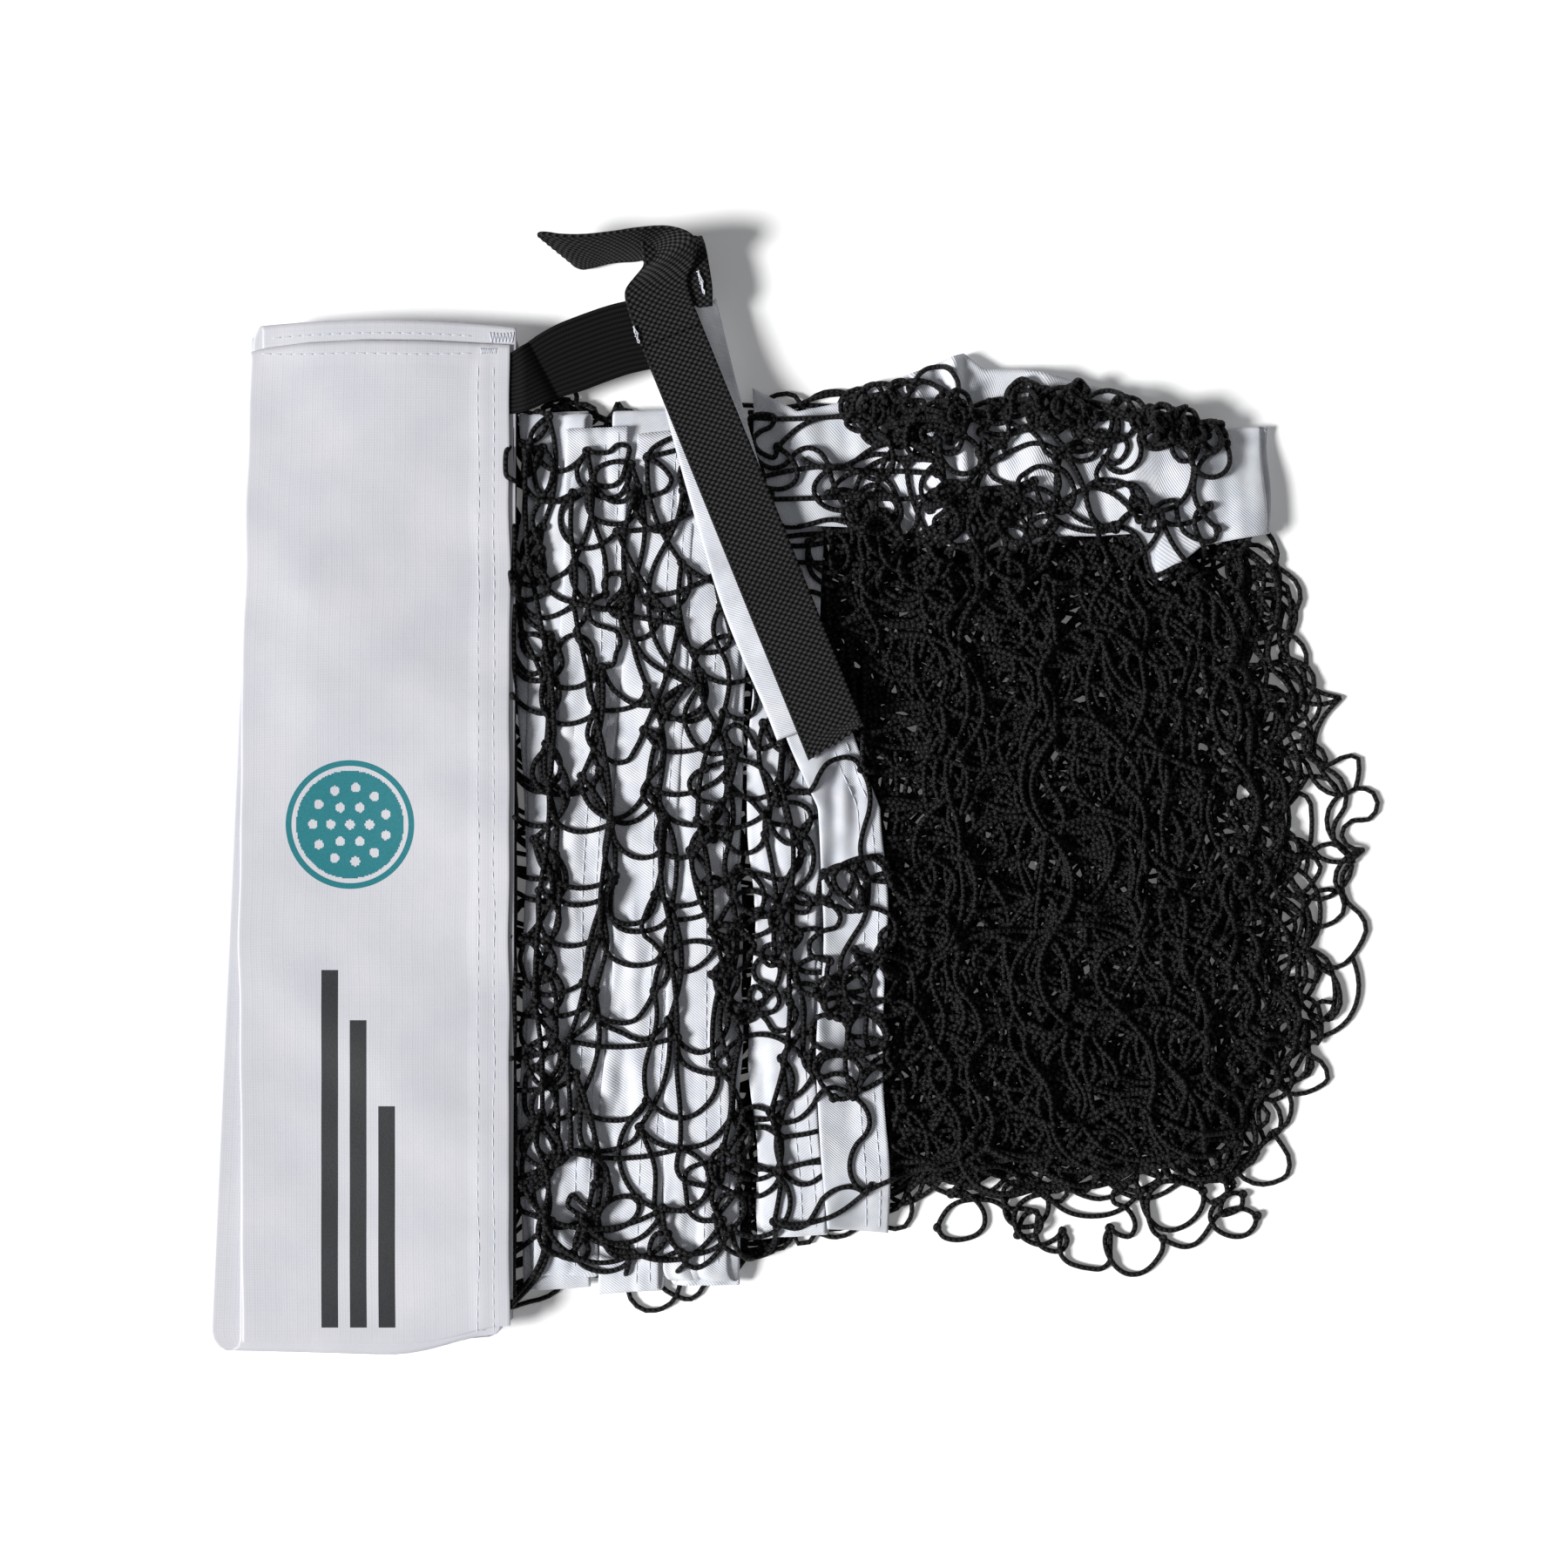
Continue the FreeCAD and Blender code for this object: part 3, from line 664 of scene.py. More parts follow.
class Finish:
    """A material with one Principled shader, whose patterns are built from the cloth UVs."""

    def __init__(self, name, colour, roughness=0.6, specular=0.5, sheen=0.0):
        self.material = bpy.data.materials.new(name)
        self.material.use_nodes = True
        self.nodes, self.links = self.material.node_tree.nodes, self.material.node_tree.links
        self.shader = self.nodes["Principled BSDF"]
        self.shader.inputs["Base Color"].default_value = (*colour, 1)
        self.shader.inputs["Roughness"].default_value = roughness
        self.shader.inputs["Specular IOR Level"].default_value = specular
        self.shader.inputs["Sheen Weight"].default_value = sheen
        self.shader.inputs["Sheen Roughness"].default_value = 0.4

    def join(self, value, socket):
        if isinstance(value, bpy.types.NodeSocket):
            self.links.new(value, socket)
        else:
            socket.default_value = value

    def uv(self):
        """The cloth UVs, in metres: (across or along, the other)."""
        source = self.nodes.new("ShaderNodeUVMap")
        source.uv_map = "cloth"
        parts = self.nodes.new("ShaderNodeSeparateXYZ")
        self.links.new(source.outputs[0], parts.inputs[0])
        return parts.outputs[0], parts.outputs[1]

    def math(self, operation, a, b=0.0, c=0.0):
        node = self.nodes.new("ShaderNodeMath")
        node.operation = operation
        for value, socket in zip((a, b, c), node.inputs):
            self.join(value, socket)
        return node.outputs[0]

    def wave(self, value, pitch):
        """A sine of the value, from -1 to 1, once in each pitch."""
        return self.math("SINE", self.math("MULTIPLY", value, 2 * math.pi / pitch))

    def noise(self, size, detail=3.0):
        """Noise over the piece, its lumps about size metres wide."""
        place = self.nodes.new("ShaderNodeTexCoord")
        node = self.nodes.new("ShaderNodeTexNoise")
        node.inputs["Scale"].default_value = 1 / size
        node.inputs["Detail"].default_value = detail
        self.links.new(place.outputs["Object"], node.inputs["Vector"])
        return node.outputs[0]

    def colours(self, value, low, high, dark, light):
        """The base colour runs from dark to light as the value runs from low to high."""
        share = self.nodes.new("ShaderNodeMapRange")
        for v, name in ((value, "Value"), (low, "From Min"), (high, "From Max")):
            self.join(v, share.inputs[name])
        mix = self.nodes.new("ShaderNodeMix")
        mix.data_type = "RGBA"
        self.links.new(share.outputs[0], mix.inputs[0])
        mix.inputs[6].default_value = (*dark, 1)
        mix.inputs[7].default_value = (*light, 1)
        self.links.new(mix.outputs[2], self.shader.inputs["Base Color"])

    def bump(self, height, size):
        """Relief of the given size in metres for each unit of height."""
        node = self.nodes.new("ShaderNodeBump")
        node.inputs["Distance"].default_value = size
        self.links.new(height, node.inputs["Height"])
        self.links.new(node.outputs[0], self.shader.inputs["Normal"])


def make_cord_black():
    finish = Finish("cord_black", (0.006, 0.006, 0.007), 0.55, 0.15)
    along, around = finish.uv()
    right = finish.math("MULTIPLY", around, 4 * math.pi)
    forward = finish.math("MULTIPLY", along, 2 * math.pi / (2.4 * MM))
    strands = [finish.math("SINE", finish.math(way, forward, right)) for way in ("ADD", "SUBTRACT")]
    fuzz = finish.math("MULTIPLY", finish.noise(0.35 * MM, 2.0), 0.8)
    relief = finish.math("ADD", finish.math("MAXIMUM", *strands), fuzz)
    # The braid's raised strands are coloured lighter: a painted highlight on the strand crowns. The
    # fuzz adds random differences in tone.
    finish.colours(relief, 0.3, 1.7, (0.0010, 0.0010, 0.0012), (0.019, 0.019, 0.021))
    finish.bump(relief, 0.22 * MM)
    return finish.material


def make_headband_white():
    finish = Finish("headband_white", (0.62, 0.65, 0.74), 0.48, 0.4, 0.1)
    across, along = finish.uv()
    grid = finish.math("MAXIMUM", finish.wave(across, 1.1 * MM), finish.wave(along, 1.1 * MM))
    thick = finish.math("MAXIMUM", *[finish.math("POWER", finish.math(
        "ABSOLUTE", finish.wave(way, 8.8 * MM)), 24.0) for way in (across, along)])
    relief = finish.math("MULTIPLY_ADD", thick, 0.35, finish.math("MULTIPLY", grid, 0.30))
    soil = finish.noise(30 * MM, 4.0)
    finish.colours(finish.math("MULTIPLY_ADD", relief, -0.04, soil), 0.25, 0.75,
                   (0.54, 0.545, 0.59), (0.616, 0.612, 0.647))
    finish.bump(finish.math("MULTIPLY_ADD", finish.noise(6 * MM, 3.0), 1.2, relief), 0.05 * MM)
    return finish.material


def make_tape_white():
    finish = Finish("tape_white", (0.74, 0.755, 0.80), 0.55, 0.35, 0.25)
    across, along = finish.uv()
    slope = finish.math("MULTIPLY_ADD", along, 1.35, across)
    twill = finish.wave(slope, 1.5 * MM)
    yarn = finish.wave(finish.math("MULTIPLY_ADD", along, -0.9, across), 0.75 * MM)
    cloud = finish.noise(9 * MM, 3.0)
    finish.colours(finish.math("MULTIPLY_ADD", twill, 0.11, cloud), 0.2, 0.8,
                   (0.60, 0.625, 0.70), (0.80, 0.81, 0.84))
    relief = finish.math("MULTIPLY_ADD", yarn, 0.3, twill)
    finish.bump(finish.math("MULTIPLY_ADD", cloud, 5.0, relief), 0.07 * MM)
    return finish.material


def make_webbing_black():
    finish = Finish("webbing_black", (0.008, 0.008, 0.009), 0.6, 0.14)
    across, along = finish.uv()
    dots = finish.math("MULTIPLY", finish.wave(across, PICK_ACROSS), finish.wave(along, PICK_ALONG))
    fuzz = finish.noise(0.5 * MM, 3.0)
    finish.colours(finish.math("MULTIPLY_ADD", fuzz, 0.9, dots), 0.35, 1.35,
                   (0.0012, 0.0012, 0.0014), (0.034, 0.034, 0.036))
    finish.bump(finish.math("MULTIPLY_ADD", fuzz, 0.7, dots), 0.18 * MM)
    return finish.material


def make_elastic_black():
    finish = Finish("elastic_black", (0.007, 0.007, 0.008), 0.8, 0.1)
    across, along = finish.uv()
    ribs = finish.wave(across, RIB_PITCH)
    knit = finish.wave(finish.math("MULTIPLY_ADD", ribs, 0.3 * MM, along), 0.9 * MM)
    fuzz = finish.noise(0.6 * MM, 3.0)
    finish.colours(finish.math("MULTIPLY_ADD", knit, 0.3, ribs), -0.6, 1.2,
                   (0.0012, 0.0012, 0.0014), (0.009, 0.009, 0.010))
    finish.bump(finish.math("ADD", fuzz, finish.math("MULTIPLY", knit, 0.5)), 0.1 * MM)
    return finish.material


def make_thread(name, colour):
    finish = Finish(name, colour, 0.6, 0.3)
    along, around = finish.uv()
    twist = finish.wave(finish.math("MULTIPLY_ADD", around, 0.5 * MM, along), 0.5 * MM)
    finish.bump(twist, 0.05 * MM)
    return finish.material


def make_ink(name, dark, light):
    finish = Finish(name, light, 0.42, 0.5)
    finish.colours(finish.noise(0.8 * MM, 4.0), 0.3, 0.7, dark, light)
    finish.bump(finish.noise(1.1 * MM, 3.0), 0.03 * MM)
    return finish.material


cord_black = make_cord_black()
headband_white = make_headband_white()
tape_white = make_tape_white()
webbing_black = make_webbing_black()
elastic_black = make_elastic_black()
thread_white = make_thread("thread_white", (0.70, 0.72, 0.78))
thread_black = make_thread("thread_black", (0.012, 0.012, 0.013))
ink_dark = make_ink("ink_dark", (0.018, 0.019, 0.022), (0.030, 0.031, 0.035))
ink_teal = make_ink("ink_teal", (0.010, 0.16, 0.19), (0.014, 0.20, 0.235))


def settle_in(obj, body, slot, *nodes):
    """A finished piece: the body it rides and the CAD nodes it stands for. The slot is not used."""
    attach(obj, body)
    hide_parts(*nodes)
    return obj


# ---------------------------------------------------------------- the headband's leaves

BAND_WIDTH, BAND_LENGTH = (LEAF_HIGH - LEAF_LOW)[:2]
band_waves = Ripples(11, 90 * MM, 260 * MM)
band_folds = Ripples(12, 25 * MM, 70 * MM, stretch=(1.0, 1.6))


def band_lift(x, y):
    """How far the upper leaves rise off the flat stack, as stiff cloth does."""
    sides = smooth(LEAF_LOW[0] - 4 * MM, LEAF_LOW[0] + 30 * MM, x)
    ends = smooth(LEAF_LOW[1], LEAF_LOW[1] + 30 * MM, y)
    wide = 1.5 + 1.1 * band_waves(x, y)
    return np.maximum(0, (wide + 0.22 * band_folds(x, y)) * (0.35 + 0.65 * sides) * ends) * MM


def across_leaf(columns):
    """Fractions across a leaf, close together at both edges, so that these stay sharp."""
    return np.concatenate([[0, 0.003], np.linspace(0.012, 0.988, columns - 4), [0.997, 1]])


STACK_ROWS, STACK_COLUMNS = 60, across_leaf(22)
END_ROWS, END_COLUMNS = 200, across_leaf(56)


def stack_leaf(number):
    """The middle surface of one leaf of the stack, rows from -Y to +Y."""
    low, high = low_high(f"headband_leaf_{number:02d}")
    lean = math.asin(max(0.0, (high - low)[0] - BAND_WIDTH) / BAND_LENGTH)
    u = STACK_COLUMNS[None, :] - 0.5
    v = np.linspace(-0.5, 0.5, STACK_ROWS)[:, None]
    x, y = u * BAND_WIDTH + 0 * v, v * BAND_LENGTH + 0 * u
    middle = (low + high) / 2
    if lean > math.radians(1):
        lean += math.radians(1.1)
        middle[0] += 4.1 * MM
    x = x + (4.5 if number == STACK_LEAVES else 3.5) * MM * smooth(0.1, 0.5, v) * (0.5 - u)
    y = y + 8.5 * MM * smooth(0.1, 0.5, u) ** 1.4 * smooth(-0.3, -0.5, v)
    if number == STACK_LEAVES:
        y = y - (2.6 * MM * (2 * u) ** 2 + 0.8 * MM) * smooth(0.3, 0.5, v)
    x, y = (middle[0] + x * math.cos(lean) + y * math.sin(lean),
            middle[1] + y * math.cos(lean) - x * math.sin(lean))
    share = (number / (STACK_LEAVES + 1)) ** 1.6
    return np.stack([x, y, middle[2] + share * band_lift(x, y)], -1)


def fold_between(last, first, outward):
    """Rows that take a cloth round from the row last to the row first, bulging outward in y."""
    turn = np.linspace(0, np.pi, 7)[1:-1, None, None]
    middle, half = (last + first) / 2, (last - first) / 2
    grid = middle + half * np.cos(turn)
    grid[..., 1] += outward * np.sin(turn[..., 0]) * np.linalg.norm(half, axis=-1)
    return grid


def zigzag(leaves, starts_high):
    """One long grid through leaves that are folded back on each other."""
    parts, at_high = [], starts_high
    for leaf in leaves:
        ordered = leaf[::-1] if at_high else leaf
        if parts:
            parts.append(fold_between(parts[-1][-1], ordered[0], 1.0 if at_high else -1.0))
        parts.append(ordered)
        at_high = not at_high
    return np.concatenate(parts)


def cloth_uvs(grid, width, part=None):
    """UVs in metres along a long strip: across it (evenly, or at part), and its length so far."""
    along = lengths_along(grid[:, grid.shape[1] // 2])[:, None] + np.zeros(grid.shape[1])
    part = np.linspace(0, 1, grid.shape[1]) if part is None else part
    return (part - 0.5)[None, :] * width + np.zeros_like(along), along


leaves = [stack_leaf(number) for number in range(1, STACK_LEAVES + 1)]
band_grid = zigzag(leaves, starts_high=True)
shape = Shape()
add_slab(shape, band_grid, BAND_THICK, *cloth_uvs(band_grid, BAND_WIDTH, STACK_COLUMNS))
stack_band = settle_in(shape.piece("headband_stack", headband_white), "folded_stack",
                       "headband_cloth",
                       *[f"headband_leaf_{n:02d}" for n in range(1, STACK_LEAVES + 1)])


def end_leaf_height(x, y):
    """The middle of the end leaf's cloth, with its seam, its hem and the pucker at stitches."""
    z = (LEAF_LOW[2] + LEAF_HIGH[2]) / 2 + band_lift(x, y)
    from_seam = SEAM_X - x
    seam = smooth(16 * MM, 14.5 * MM, from_seam)
    hem = smooth(LEAF_HIGH[1] - 5.5 * MM, LEAF_HIGH[1] - 4.5 * MM, y)
    z = z + 0.45 * MM * np.maximum(seam, hem)
    pull = sum(np.exp(-((from_seam - row) / (1.1 * MM)) ** 2) for row in (7 * MM, 13.5 * MM))
    z = z - 0.22 * MM * pull
    pucker = np.sin(2 * np.pi * y / STITCH_PITCH + 9 * band_waves(x, y))
    near = smooth(19 * MM, 15 * MM, from_seam) * smooth(-1 * MM, 4 * MM, from_seam)
    return z + 0.10 * MM * pucker * near


def end_leaf_grid():
    """The end leaf's middle surface, rows from the hem to the fold."""
    u = END_COLUMNS[None, :]
    v = np.linspace(0, 1, END_ROWS)[:, None]
    arch = np.interp(u, (0, 0.04, 0.2, 0.43, 0.68, 1), (-2.4, -1.0, 1.2, 2.4, 2.2, 0.6)) * MM
    top = LEAF_HIGH[1] + arch
    bottom = LEAF_LOW[1] + 0.7 * MM + 7.5 * MM * smooth(0.6, 1.0, u) ** 1.4
    y = top + v * (bottom - top)
    flare = np.interp(v, (0, 0.3, 0.6, 0.78, 1), (2.3, -1.3, -2.8, -1.9, -1.4)) * MM
    x = LEAF_LOW[0] + flare + u * (BAND_WIDTH - flare) + 0.3 * MM * band_folds(0 * u, y)
    return np.stack([x, y, end_leaf_height(x, y)], -1)


leaf_grid = end_leaf_grid()
landing = leaf_grid[-1].copy()
landing[:, 2] = leaves[-1][0, :, 2].mean() + 0.1 * MM
leaf_grid = np.concatenate([leaf_grid, fold_between(leaf_grid[-1], landing, -1.0), landing[None]])
shape = Shape()
add_slab(shape, leaf_grid, BAND_THICK, *cloth_uvs(leaf_grid, BAND_WIDTH, END_COLUMNS))
end_band = shape.piece("headband_end", headband_white)
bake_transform(end_band)
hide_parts("headband_end_leaf")


def on_leaf(points, lift):
    """Points (n, 2) put on the end leaf's upper face, plus lift."""
    x, y = points[..., 0], points[..., 1]
    return np.stack([x, y, end_leaf_height(x, y) + BAND_THICK / 2 + lift], -1)


# ---------------------------------------------------------------- prints and stitches of the leaf

PRINT_LIFT = 0.05 * MM


def add_patch(shape, x, y):
    """A thin print over the end leaf, from its grid's plan points."""
    points = on_leaf(np.stack([x, y], -1), PRINT_LIFT)
    quads = grid_quads(*points.shape[:2])[1].reshape(-1, 4)
    if np.cross(points[0, 1] - points[0, 0], points[1, 0] - points[0, 0])[2] < 0:
        quads = quads[:, ::-1]
    shape.add(points, (quads, points.reshape(-1, 3)[:, :2][quads]))


def ball_print():
    """A round print: a ring about a ball with holes."""
    low, high = low_high("print_roundel")
    centre, full = (low + high)[:2] / 2, (high - low)[0] / 2
    shape = Shape()
    r, t = np.meshgrid(np.linspace(full - 2.4 * MM, full, 2), np.linspace(0, 2 * np.pi, 97),
                       indexing="ij")
    add_patch(shape, centre[0] + r * np.cos(t), centre[1] + r * np.sin(t))
    holes = [(0, 0)]
    for count, reach, turn in ((6, 8.2, 0.0), (11, 15.6, 0.28)):
        angles = turn + 2 * np.pi * np.arange(count) / count
        holes += [(reach * np.cos(angle), reach * np.sin(angle)) for angle in angles]
    step, hole_radius, size = 0.55 * MM, 2.0 * MM, full - 4.4 * MM
    side = np.arange(-size, size + step, step)
    gx, gy = np.meshgrid(side, side, indexing="ij")
    points = on_leaf(np.stack([centre[0] + gx, centre[1] + gy], -1), PRINT_LIFT)
    quads = np.roll(grid_quads(*gx.shape)[1][..., ::-1], 1, axis=-1)
    middle = np.stack([gx[:-1, :-1], gy[:-1, :-1]], -1) + step / 2
    away = np.linalg.norm(middle[..., None, :] - np.array(holes) * MM, axis=-1).min(-1)
    quads = quads[(np.linalg.norm(middle, axis=-1) < size) & (away > hole_radius)]
    shape.add(points, (quads, points.reshape(-1, 3)[:, :2][quads]))
    return shape.piece("print_ball", ink_teal)


def bars_print():
    """Three plain bars."""
    low, high = low_high("print_bars")
    shape = Shape()
    width, step = 7 * MM, 12 * MM
    for number, share in enumerate((1.0, 0.86, 0.62)):
        x = low[0] + number * step + np.linspace(0, width, 5)
        y = low[1] + np.linspace(0, (high - low)[1] * share, 70)
        add_patch(shape, *np.meshgrid(x, y, indexing="xy"))
    return shape.piece("print_bars_ink", ink_dark)


settle_in(ball_print(), "end_leaf", "print_light", "print_roundel")
settle_in(bars_print(), "end_leaf", "print_dark", "print_bars")


def leaf_stitches(name, start, stop, node, pitch=STITCH_PITCH):
    """A row of stitches over the end leaf from start to stop in plan."""
    start, stop = np.array(start), np.array(stop)
    length = np.linalg.norm(stop - start)
    count = int(length / pitch)
    part = (np.arange(count)[:, None] + np.linspace(0.08, 0.92, 7)) / count
    plan = start + (stop - start) * part[..., None]
    aside = np.array([stop[1] - start[1], start[0] - stop[0]]) / length
    sway = 0.25 * MM * Ripples(77, 30 * MM, 90 * MM)(plan[..., 0] * 3, plan[..., 1])
    plan = plan + aside * sway[..., None]
    arch = np.sin(np.pi * np.linspace(0, 1, 7)) ** 0.5
    points = on_leaf(plan, 0)
    points[..., 2] += (0.30 * arch - 0.16) * MM
    shape = Shape()
    add_tubes(shape, points, THREAD_RADIUS, 6)
    return settle_in(shape.piece(name, thread_white), "end_leaf", "thread", node)


for name in ("seam_thread_inner", "seam_thread_outer"):
    low, high = low_high(name)
    x = (low[0] + high[0]) / 2
    leaf_stitches(name.replace("thread", "stitches"),
                  (x, high[1] - 2 * MM), (x, LEAF_LOW[1] + 4 * MM),
                  name)
low, high = low_high("hem_thread")
leaf_stitches("hem_stitches", (LEAF_LOW[0] + 7 * MM, low[1] - 0.3 * MM),
              (SEAM_X - 16 * MM, low[1] - 0.3 * MM), "hem_thread", HEM_PITCH)


def tack_line(x_from, x_to, y, tall, turns):
    """The plan of a bar tack: a tight zigzag along x."""
    t = np.linspace(0, 1, 10 * turns)
    return np.stack([x_from + t * (x_to - x_from),
                     y + tall * (2 * np.abs((t * turns) % 1 - 0.5) - 0.5)], -1)


low, high = low_high("hem_bar_tack")
tack = on_leaf(tack_line(low[0], high[0], (low + high)[1] / 2 - 0.8 * MM, 2.4 * MM, 9), 0.12 * MM)
shape = Shape()
add_tubes(shape, tack[None], THREAD_RADIUS, 6)
settle_in(shape.piece("bar_tack", thread_white), "end_leaf", "thread", "hem_bar_tack")

# The leaf below shows the net's other end: its hem and its tack.
upper_face = leaves[-1] + np.array([0, 0, BAND_THICK / 2])
shape = Shape()
row_of_stitches(shape, upper_face.transpose(1, 0, 2), 1 - 3.6 / 418, 4 * MM, 16 * MM, 0.3 * MM,
                HEM_PITCH)
far_edge = upper_face[-1]
tack = tack_line(far_edge[-1, 0] - 11 * MM, far_edge[-1, 0] - 1 * MM, far_edge[-1, 1] - 2.6 * MM,
                 4.4 * MM, 7)
height = far_edge[-3:, 2].mean() + 0.15 * MM
add_tubes(shape, np.column_stack([tack, np.full(len(tack), height)])[None], THREAD_RADIUS, 6)
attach(shape.piece("hem_stitches_under", thread_white), "folded_stack")


# ---------------------------------------------------------------- the deep netting

ground = Ground()
netting = Netting(ground)
deep = [Shape(), Shape(), Shape()]
STACK_NETS = ("netting_beside_headband", "netting_at_turns", "netting_under_side_tape")
END_NETS = tuple("end_" + name for name in STACK_NETS)
OUT, BACK = list(range(TURN)), list(range(TURN, LAST_COLUMN + 1))


def net_piece(shape, name, body):
    """A piece of netting. It stands for all the netting of its body."""
    nodes = STACK_NETS if body == "folded_stack" else END_NETS
    return settle_in(shape.piece(name, cord_black), body, "netting_cord", *nodes)


def thinned(lines, points=13):
    """The same cords with fewer points along them."""
    return lines[:, np.linspace(0, lines.shape[1] - 1, points).round().astype(int)]


for leaf in range(1, STACK_LEAVES + 1):
    for columns, kind in ((BACK, "back"), (OUT, "out")):
        if kind == "back" or leaf <= DEEP_LEAVES:
            lines, _ = netting.lay(leaf, columns, kind, 6, 0.45, 60)
            add_tubes(deep[(leaf - 1) // 5], ground.clip(thinned(lines), leaf / STACK_LEAVES),
                      CORD_RADIUS, 5)
    ground.press(leaf / STACK_LEAVES)
for number, shape in enumerate(deep):
    net_piece(shape, f"netting_deep_{number + 1}", "folded_stack")


# ---------------------------------------------------------------- the bottom tapes

def tape_leaf(low, high, order, cover, seed, ends_x, turn_y=1.0):
    """The middle surface of one bottom tape's leaf, rows from -Y to +Y.

    ends_x is where its middle lies at both ends. Past turn_y it leans over towards the corner.
    """
    draw = np.random.default_rng(seed)
    v = np.linspace(0, 1, 120)[:, None]
    u = np.linspace(-0.5, 0.5, 26)[None, :]
    ends = draw.uniform(-3, 3, 2) * MM
    y = low[1] + ends[0] + v * ((high - low)[1] + ends[1] - ends[0])
    squeeze = 0.94 + 0.06 * Ripples(seed + 1, 40 * MM, 160 * MM)(0 * y, y)
    middle = ends_x[0] + (ends_x[1] - ends_x[0]) * v + draw.uniform(-1, 1) * MM
    middle = middle + 1.6 * MM * Ripples(seed + 2, 90 * MM, 300 * MM)(0 * y, y)
    x = middle + u * TAPE_WIDTH * squeeze
    y = y + 0 * u + draw.uniform(-0.12, 0.12) * (x - middle)
    x = x - 0.4 * np.maximum(0, y - turn_y)
    creases = Ripples(seed + 3, 8 * MM, 24 * MM, stretch=(1.0, 6.0), waves=11)
    puckers = Ripples(seed + 4, 9 * MM, 34 * MM, stretch=(1.5, 1.0), waves=11)
    depth = 0.45 + 0.55 * np.clip(Ripples(seed + 5, 40 * MM, 140 * MM)(x, y), -0.5, 1)
    z = cover(x, y) + 0.8 * MM + order * 1.5 * MM
    return np.stack([x, y, z + depth * (1.05 * creases(x, y) + 0.75 * puckers(x, y)) * MM], -1)


def white_tape(name, grid, width, body, *nodes):
    """A white tape's piece about a middle surface."""
    shape = Shape()
    add_slab(shape, grid, TAPE_THICK, *cloth_uvs(grid, width))
    return settle_in(shape.piece(name, tape_white), body, "white_tape", *nodes)


def tape_stitches(name, grid, body):
    """The bottom tape's two rows of lockstitches, beside its +X edge."""
    shape = Shape()
    normals = grid_normals(grid)
    upper = grid + normals * np.sign(normals[..., 2:]) * TAPE_THICK / 2
    for distance in (4.4 * MM, 10.6 * MM):
        row_of_stitches(shape, upper, 1 - distance / TAPE_WIDTH, 2 * MM, 2 * MM, 0.32 * MM,
                        TAPE_PITCH)
    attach(shape.piece(name, thread_white), body)


cover = ground.cover(lift=CORD_RADIUS)
# The tape's columns: (leaves, the x of the lower leaves' ends, the x of the top leaf's ends) in mm.
GROUPS = (((1, 2, 3, 4), (-104, -104), (-102.5, -87)), ((5, 6, 7, 8), (-72, -66), (-75, -57)),
          ((9, 10, 11, 12), (-42, -40), (-46, -43)), ((13, 14, 15), (-4, -8), (-6, -12)))
for number, (group, under, over) in enumerate(GROUPS):
    stack = []
    for order, leaf in enumerate(group):
        at = np.array(over if leaf == group[-1] else under) * MM
        tape = tape_leaf(*low_high(f"bottom_tape_leaf_{leaf:02d}"), order, cover,
                         300 + 10 * leaf, at)
        if stack:
            tape[..., 2] = np.maximum(tape[..., 2], stack[-1][..., 2] + 1.1 * MM)
        stack.append(tape)
        ground.add_cloth(tape)
    nodes = [f"bottom_tape_leaf_{leaf:02d}" for leaf in group]
    tape = white_tape(f"bottom_tape_{number + 1}", zigzag(stack, starts_high=group[0] % 2 == 1),
                      TAPE_WIDTH, "folded_stack", *nodes)
    tape_stitches(f"bottom_tape_stitches_{number + 1}", stack[-1], "folded_stack")


# ---------------------------------------------------------------- the side tapes

SIDE_TOP = np.array([(-22, 169), (-4, 158), (19, 163), (52, 177), (67, 183), (74, 176), (94, 176),
                     (130, 167), (163, 151), (204, 152)]) * MM
SIDE_FOOT = np.array([(-22, 110), (20, 109), (60, 101), (84, 99), (112, 105), (139, 106), (148, 86),
                      (166, 101), (204, 108)]) * MM


def side_tape(x_from, x_to, cover, seed, pleats, rows):
    """The middle surface of a side tape, rows along x."""
    x = np.linspace(x_from, x_to, rows)[:, None]
    v = np.linspace(0, 1, 36)[None, :]
    foot = np.interp(x, SIDE_FOOT[:, 0], SIDE_FOOT[:, 1])
    top = np.interp(x, SIDE_TOP[:, 0], SIDE_TOP[:, 1])
    y = foot + v * (top - foot)
    x = x + 1.5 * MM * Ripples(seed, 25 * MM, 90 * MM)(x + 0 * y, y)
    z = cover(x, y) + 0.9 * MM
    for at, wide, tall, lean in pleats:
        ridge = np.exp(-(((x - at * MM) - lean * (y - 0.13)) / (wide * MM)) ** 2)
        z = z + tall * MM * ridge * (0.35 + 0.65 * v)
    waves = Ripples(seed + 1, 28 * MM, 90 * MM)
    creases = Ripples(seed + 2, 8 * MM, 30 * MM, stretch=(1.0, 2.5), waves=9)
    z = z + (0.9 * (1 + waves(x, y)) + 0.35 * creases(x, y)) * MM
    return np.stack([x, y, z], -1)


# Its raised pleats: (x in mm, half width in mm, height in mm, lean).
SIDE_PLEATS = ((68, 3.0, 6.0, -0.10), (57, 4.0, 3.5, -0.25), (40, 5.0, 2.0, 0.2),
               (96, 5.0, 2.5, 0.15), (8, 5.0, 2.0, -0.3), (140, 6.0, 2.0, 0.1))
low, high = low_high("stack_side_tape")
cover = ground.cover(lift=CORD_RADIUS)
side_grid = side_tape(low[0], high[0] - 4 * MM, cover, 501, SIDE_PLEATS[3:], 130)
tape = white_tape("side_tape_under", side_grid, 52 * MM, "folded_stack", "stack_side_tape")
ground.add_cloth(side_grid)


# ---------------------------------------------------------------- the upper netting and end leaf

